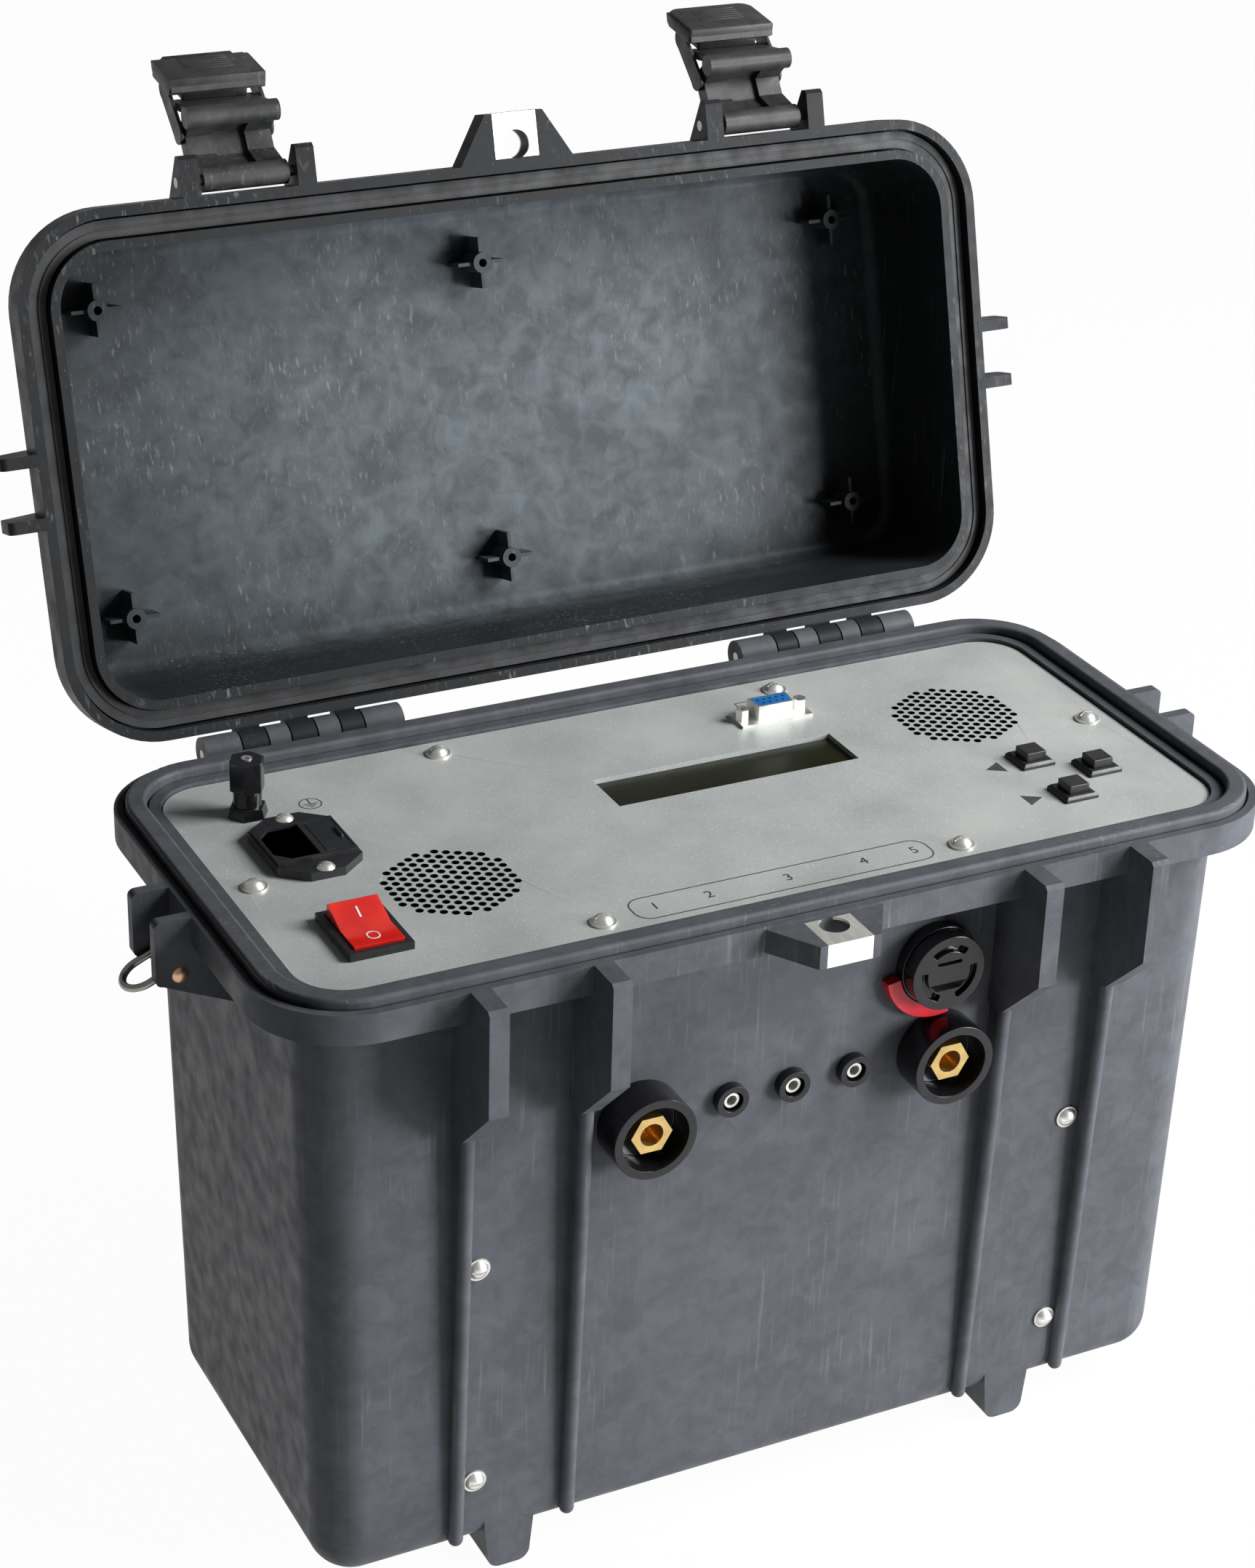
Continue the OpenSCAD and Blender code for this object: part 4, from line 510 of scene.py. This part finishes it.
# %% Moulded pieces
EASES = {
    "tub": 0.7, "lid": 0.7, "latch_claw_left": 0.5, "latch_claw_right": 0.5, "latch_lever_left": 0.6,
    "latch_lever_right": 0.6, "carry_handle": 0.6, "inlet_body": 0.35, "fuse_drawer": 0.3,
    "rocker_bezel": 0.4, "rocker": 0.5, "ground_post_base": 0.3, "ground_knob": 0.4, "button_bases": 0.2,
    "button_up": 0.35, "button_down": 0.35, "button_start": 0.35, "terminal_cups": 0.5,
    "signal_sockets": 0.3, "valve_body": 0.4, "valve_knob": 0.4, "valve_ring": 0.2,
}
for source, ease_mm in EASES.items():
    eased(source, ease_mm)

# %% [markdown]
# The printing on the panel is a film of ink a few hundredths of a millimetre thick. Real geometry keeps it
# sharp from any distance. Outlines start as a flat shape that is inset, and the middle is taken out.

# %% Ink marks: helpers
panel_low, panel_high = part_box("panel")
PANEL = Vector(((panel_low.x + panel_high.x) / 2, (panel_low.y + panel_high.y) / 2, panel_high.z))
INK_MM = 0.06
CORNER_STEPS = 10
CAPITAL_SHARE = 0.7


def spot(x_mm, y_mm, up_mm=0.0):
    """A point on the panel, in millimetres from its middle."""
    return PANEL + Vector((x_mm, y_mm, up_mm)) * MM


def settle(piece, name, finish, body="case"):
    """Puts the object's place into its mesh, names it, and lets it ride on a body."""
    alone(piece)
    bpy.ops.object.transform_apply(location=True, rotation=True, scale=True)
    piece.name = name
    piece.data.materials.clear()
    piece.data.materials.append(finish)
    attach(piece, body)
    return piece


def thicken():
    """Edit mode: raises the flat faces by the thickness of the ink, into a solid."""
    bpy.ops.mesh.select_all(action="SELECT")
    bpy.ops.mesh.extrude_region_move(TRANSFORM_OT_translate={"value": (0, 0, INK_MM * MM)})
    bpy.ops.mesh.select_all(action="SELECT")
    bpy.ops.mesh.normals_make_consistent(inside=False)


def outline(name, middle, size_mm, corner_mm, line_mm, finish=PANEL_INK, tilt=0.0, body="case"):
    """A printed rectangle with round corners, as a line."""
    bpy.ops.mesh.primitive_plane_add(size=1, location=spot(*middle), rotation=(tilt, 0, 0))
    piece = bpy.context.active_object
    piece.scale = (size_mm[0] * MM, size_mm[1] * MM, 1)
    bpy.ops.object.transform_apply(location=False, rotation=False, scale=True)
    bpy.ops.object.mode_set(mode="EDIT")
    bpy.ops.mesh.select_all(action="SELECT")
    bpy.ops.mesh.bevel(offset=corner_mm * MM, segments=CORNER_STEPS, affect="VERTICES")
    bpy.ops.mesh.select_all(action="SELECT")
    bpy.ops.mesh.inset(thickness=line_mm * MM)
    bpy.ops.mesh.delete(type="FACE")
    thicken()
    bpy.ops.object.mode_set(mode="OBJECT")
    return settle(piece, name, finish, body)


def bar(name, middle, size_mm, turn_deg=0.0, finish=PANEL_INK, corners=4, tilt=0.0, body="case"):
    """A filled printed shape: a stroke, or a triangle when corners is 3."""
    turn = math.radians(turn_deg)
    if corners == 4:
        bpy.ops.mesh.primitive_plane_add(size=1, location=spot(*middle), rotation=(tilt, 0, turn))
    else:
        bpy.ops.mesh.primitive_circle_add(vertices=corners, radius=0.5, fill_type="NGON",
                                          location=spot(*middle), rotation=(0, 0, turn))
    piece = bpy.context.active_object
    piece.scale = (size_mm[0] * MM, size_mm[1] * MM, 1)
    bpy.ops.object.mode_set(mode="EDIT")
    thicken()
    bpy.ops.object.mode_set(mode="OBJECT")
    return settle(piece, name, finish, body)


def numeral(name, digit, middle, height_mm):
    """A printed number of the built in font."""
    bpy.ops.object.text_add(location=spot(*middle))
    piece = bpy.context.active_object
    piece.data.body = digit
    piece.data.size = height_mm / CAPITAL_SHARE * MM
    piece.data.align_x, piece.data.align_y = "CENTER", "CENTER"
    piece.data.extrude = INK_MM * MM
    bpy.ops.object.convert(target="MESH")
    return settle(bpy.context.active_object, name, PANEL_INK)

# %% [markdown]
# Each ventilation hole looks black on the real panel, because little light comes back from the fan below.
# The sheet is copied, and the walls of those holes get a second finish: painted shade, nearly black.

# %% Ventilation holes
VENT_MIDDLES = (spot(-108, -23.3), spot(126.3, 23.6))
VENT_FIELD_MM = 25.8
STEEP_BELOW = 0.5
# painted shade: a nearly black finish for the hole walls, where little light comes back
HOLE_PAINTED_SHADE = plain_finish("hole_painted_shade", (0.004, 0.004, 0.004), (0.007, 0.007, 0.007), 0.8,
                         Specular_IOR_Level=0.05)


def punched_sheet():
    """The panel's copy, with painted shade on the walls in the two fields of holes."""
    piece = merged_copy("panel", "panel_punched")
    bpy.ops.object.mode_set(mode="OBJECT")
    piece.data.materials.clear()
    piece.data.materials.append(PANEL_SHEET)
    piece.data.materials.append(HOLE_PAINTED_SHADE)
    walls = 0
    for face in piece.data.polygons:
        near = any((face.center - at).xy.length < VENT_FIELD_MM * MM for at in VENT_MIDDLES)
        if near and abs(face.normal.z) < STEEP_BELOW:
            face.material_index = 1
            walls += 1
    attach(piece, "case")
    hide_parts("panel")
    print("dark hole walls", walls)


punched_sheet()

# %% [markdown]
# The marks are plain ones: numbers beside the terminals with a line round them, a line round the connector, a
# triangle beside two of the buttons, and the ground symbol. Their places are in millimetres from the panel's
# middle.

# %% Ink marks on the panel
NUMBER_X = (-50.3, -29.0, 2.5, 33.2, 54.0)
NUMBER_Y, NUMBER_HEIGHT_MM = -67.7, 4.6
GROUND_X = -130.9
GROUND_BARS = ((5.6, 51.6), (3.6, 50.4), (1.6, 49.2))
for i, x in enumerate(NUMBER_X):
    numeral(f"terminal_number_{i + 1}", str(i + 1), (x, NUMBER_Y), NUMBER_HEIGHT_MM)
outline("terminal_outline", (0.4, -67.9), (119.8, 15.4), 6.0, 0.5)
outline("connector_outline", (59.5, 63.2), (16.0, 6.2), 0.6, 0.4)
bar("mark_up", (117, -22.6), (9.6, 9.6), 90, corners=3)
bar("mark_down", (115, -50.2), (9.6, 9.6), -90, corners=3)
outline("ground_circle", (GROUND_X, 51.8), (8.6, 8.6), 4.28, 0.4)
bar("ground_stem", (GROUND_X, 53.6), (0.45, 4.0))
for i, (width, y) in enumerate(GROUND_BARS):
    bar(f"ground_bar_{i + 1}", (GROUND_X, y), (width, 0.45))

# %% [markdown]
# The rocker carries a white bar on the half that stands up and a white ring on the half that is pressed.
# Both lie on sloping faces: each half rises ten degrees from the middle, and the whole rocker is tipped by
# ten more. The marks are made flat, tilted with their face, and ride on the rocker.

# %% Rocker marks
ROCKER_AT = (-149.8, -46.0)
ROCKER_PIVOT_MM = -1.0
ROCKER_TIP = math.radians(10)
FACE_SLOPE = math.radians(10.43)
FACE_MID_MM = 4.9
MARK_LIFT_MM = 0.02


def rocker_face(along_mm, side):
    """A point on one half of the rocker, at a distance from its middle, and the tilt of that half."""
    y, z = side * along_mm, FACE_MID_MM + along_mm * math.tan(FACE_SLOPE) + MARK_LIFT_MM
    turned_y = y * math.cos(ROCKER_TIP) - z * math.sin(ROCKER_TIP)
    turned_z = y * math.sin(ROCKER_TIP) + z * math.cos(ROCKER_TIP) + ROCKER_PIVOT_MM
    return (ROCKER_AT[0], ROCKER_AT[1] + turned_y, turned_z), ROCKER_TIP + side * FACE_SLOPE


back_point, back_tilt = rocker_face(6.6, 1)
front_point, front_tilt = rocker_face(6.8, -1)
bar("rocker_bar", back_point, (0.65, 4.9), finish=WHITE_MARK, tilt=back_tilt, body="rocker")
outline("rocker_ring", front_point, (4.6, 5.4), 2.25, 0.5, WHITE_MARK, front_tilt, "rocker")

# %% [markdown]
# The finger pad of each latch is a thick shell with round back corners and fine ribs for grip. It is made
# lying flat, as a block whose back corners and edges are beveled, and then tipped into its place on the open
# lid by one matrix. A heel under the pad, and a thin shelf on the claw, fill most of the space down to the
# claw's bar.

# %% Latch pads
HINGE_CLOSED_MM = Vector((0, 105.8, -2.1))
LATCH_X_MM = 107.6
PAD_LOW_MM, PAD_HIGH_MM = Vector((0, -139.5, 23)), Vector((0, -148, 43))
PAD_SIZE_MM = (37.6, 23.2, 6.0)
PAD_RISE_MM, PAD_CORNER_MM, PAD_EASE_MM = 1.2, 5.5, 1.2
PAD_SMOOTH_ANGLE = math.radians(35)
HEEL_SIZE_MM, HEEL_MIDDLE_MM = (25.4, 12, 4.2), (0, -3, -6.6)
RIB_SIZE_MM, RIB_COUNT, RIB_PITCH_MM, RIB_START_MM = (19, 0.5, 0.5), 6, 2.0, -3.2
SHELF_LOW_MM, SHELF_HIGH_MM = Vector((0, -128.6, 12)), Vector((0, -131.6, 33))
SHELF_SIZE_MM = (32.6, 21.5, 3.0)


def on_open_lid(x_mm, low_mm, high_mm):
    """Axes on a sloping line of the closed lid's side profile, carried to where the open lid is."""
    along = (high_mm - low_mm).normalized()
    out = Vector((1, 0, 0)).cross(along)
    middle = (low_mm + high_mm) / 2 + Vector((x_mm, 0, 0)) - HINGE_CLOSED_MM
    axes = Matrix(((1, 0, 0), along, out)).transposed().to_4x4()
    opened = Matrix.Translation(HINGE) @ Matrix.Rotation(-LID_OPEN, 4, "X")
    return opened @ Matrix.Translation(middle * MM) @ axes


def block(size_mm, middle_mm=(0, 0, 0)):
    """A box with its size and its place in its mesh."""
    bpy.ops.object.select_all(action="DESELECT")
    bpy.ops.mesh.primitive_cube_add(size=1, location=Vector(middle_mm) * MM)
    piece = bpy.context.active_object
    piece.scale = Vector(size_mm) * MM
    bpy.ops.object.transform_apply(location=True, rotation=False, scale=True)
    return piece


def soften(piece, width_mm, steps=3):
    """Rounds all the edges of a piece."""
    ease = piece.modifiers.new("ease", "BEVEL")
    ease.width, ease.segments = width_mm * MM, steps
    apply_all(piece)
    bpy.ops.object.shade_smooth_by_angle(angle=PAD_SMOOTH_ANGLE)


def corner_edges(piece, wanted):
    """Edit mode: selects only the upright edges whose middle passes a test."""
    bpy.ops.mesh.select_all(action="DESELECT")
    bpy.ops.object.mode_set(mode="OBJECT")
    for edge in piece.data.edges:
        a, b = (piece.data.vertices[i].co for i in edge.vertices)
        edge.select = abs(a.z - b.z) > abs(a.x - b.x) + abs(a.y - b.y) and wanted((a + b) / 2)
    bpy.ops.object.mode_set(mode="EDIT")
    bpy.ops.mesh.select_mode(type="EDGE")


def tip_in(piece, name, sign, low_mm, high_mm, body):
    """Tips a flat piece onto its line on the open lid, and lets it ride on a body."""
    piece.matrix_world = on_open_lid(sign * LATCH_X_MM, low_mm, high_mm)
    return settle(piece, name, LATCH_PLASTIC, body)


def pad(name, sign):
    """The finger pad on one lever, with its heel and its ribs."""
    lever = f"lever_{name}"
    piece = block(PAD_SIZE_MM, (0, 0, PAD_RISE_MM - PAD_SIZE_MM[2] / 2))
    bpy.ops.object.mode_set(mode="EDIT")
    corner_edges(piece, lambda at: at.y > 0)
    bpy.ops.mesh.bevel(offset=PAD_CORNER_MM * MM, segments=6)
    bpy.ops.object.mode_set(mode="OBJECT")
    soften(piece, PAD_EASE_MM)
    tip_in(piece, f"latch_pad_{name}", sign, PAD_LOW_MM, PAD_HIGH_MM, lever)
    heel = block(HEEL_SIZE_MM, HEEL_MIDDLE_MM)
    soften(heel, 0.5)
    tip_in(heel, f"latch_heel_{name}", sign, PAD_LOW_MM, PAD_HIGH_MM, lever)
    for i in range(RIB_COUNT):
        rib = block(RIB_SIZE_MM, (0, RIB_PITCH_MM * i + RIB_START_MM, PAD_RISE_MM))
        soften(rib, 0.2, 2)
        tip_in(rib, f"latch_pad_{name}_rib_{i + 1}", sign, PAD_LOW_MM, PAD_HIGH_MM, lever)
    return piece


def shelf(name, sign):
    """The thin shelf between one claw's bar and the pad above it."""
    piece = block(SHELF_SIZE_MM)
    soften(piece, 0.5)
    return tip_in(piece, f"latch_shelf_{name}", sign, SHELF_LOW_MM, SHELF_HIGH_MM, f"claw_{name}")


for name, sign in (("left", -1), ("right", 1)):
    print(pad(name, sign).name, shelf(name, sign).name)
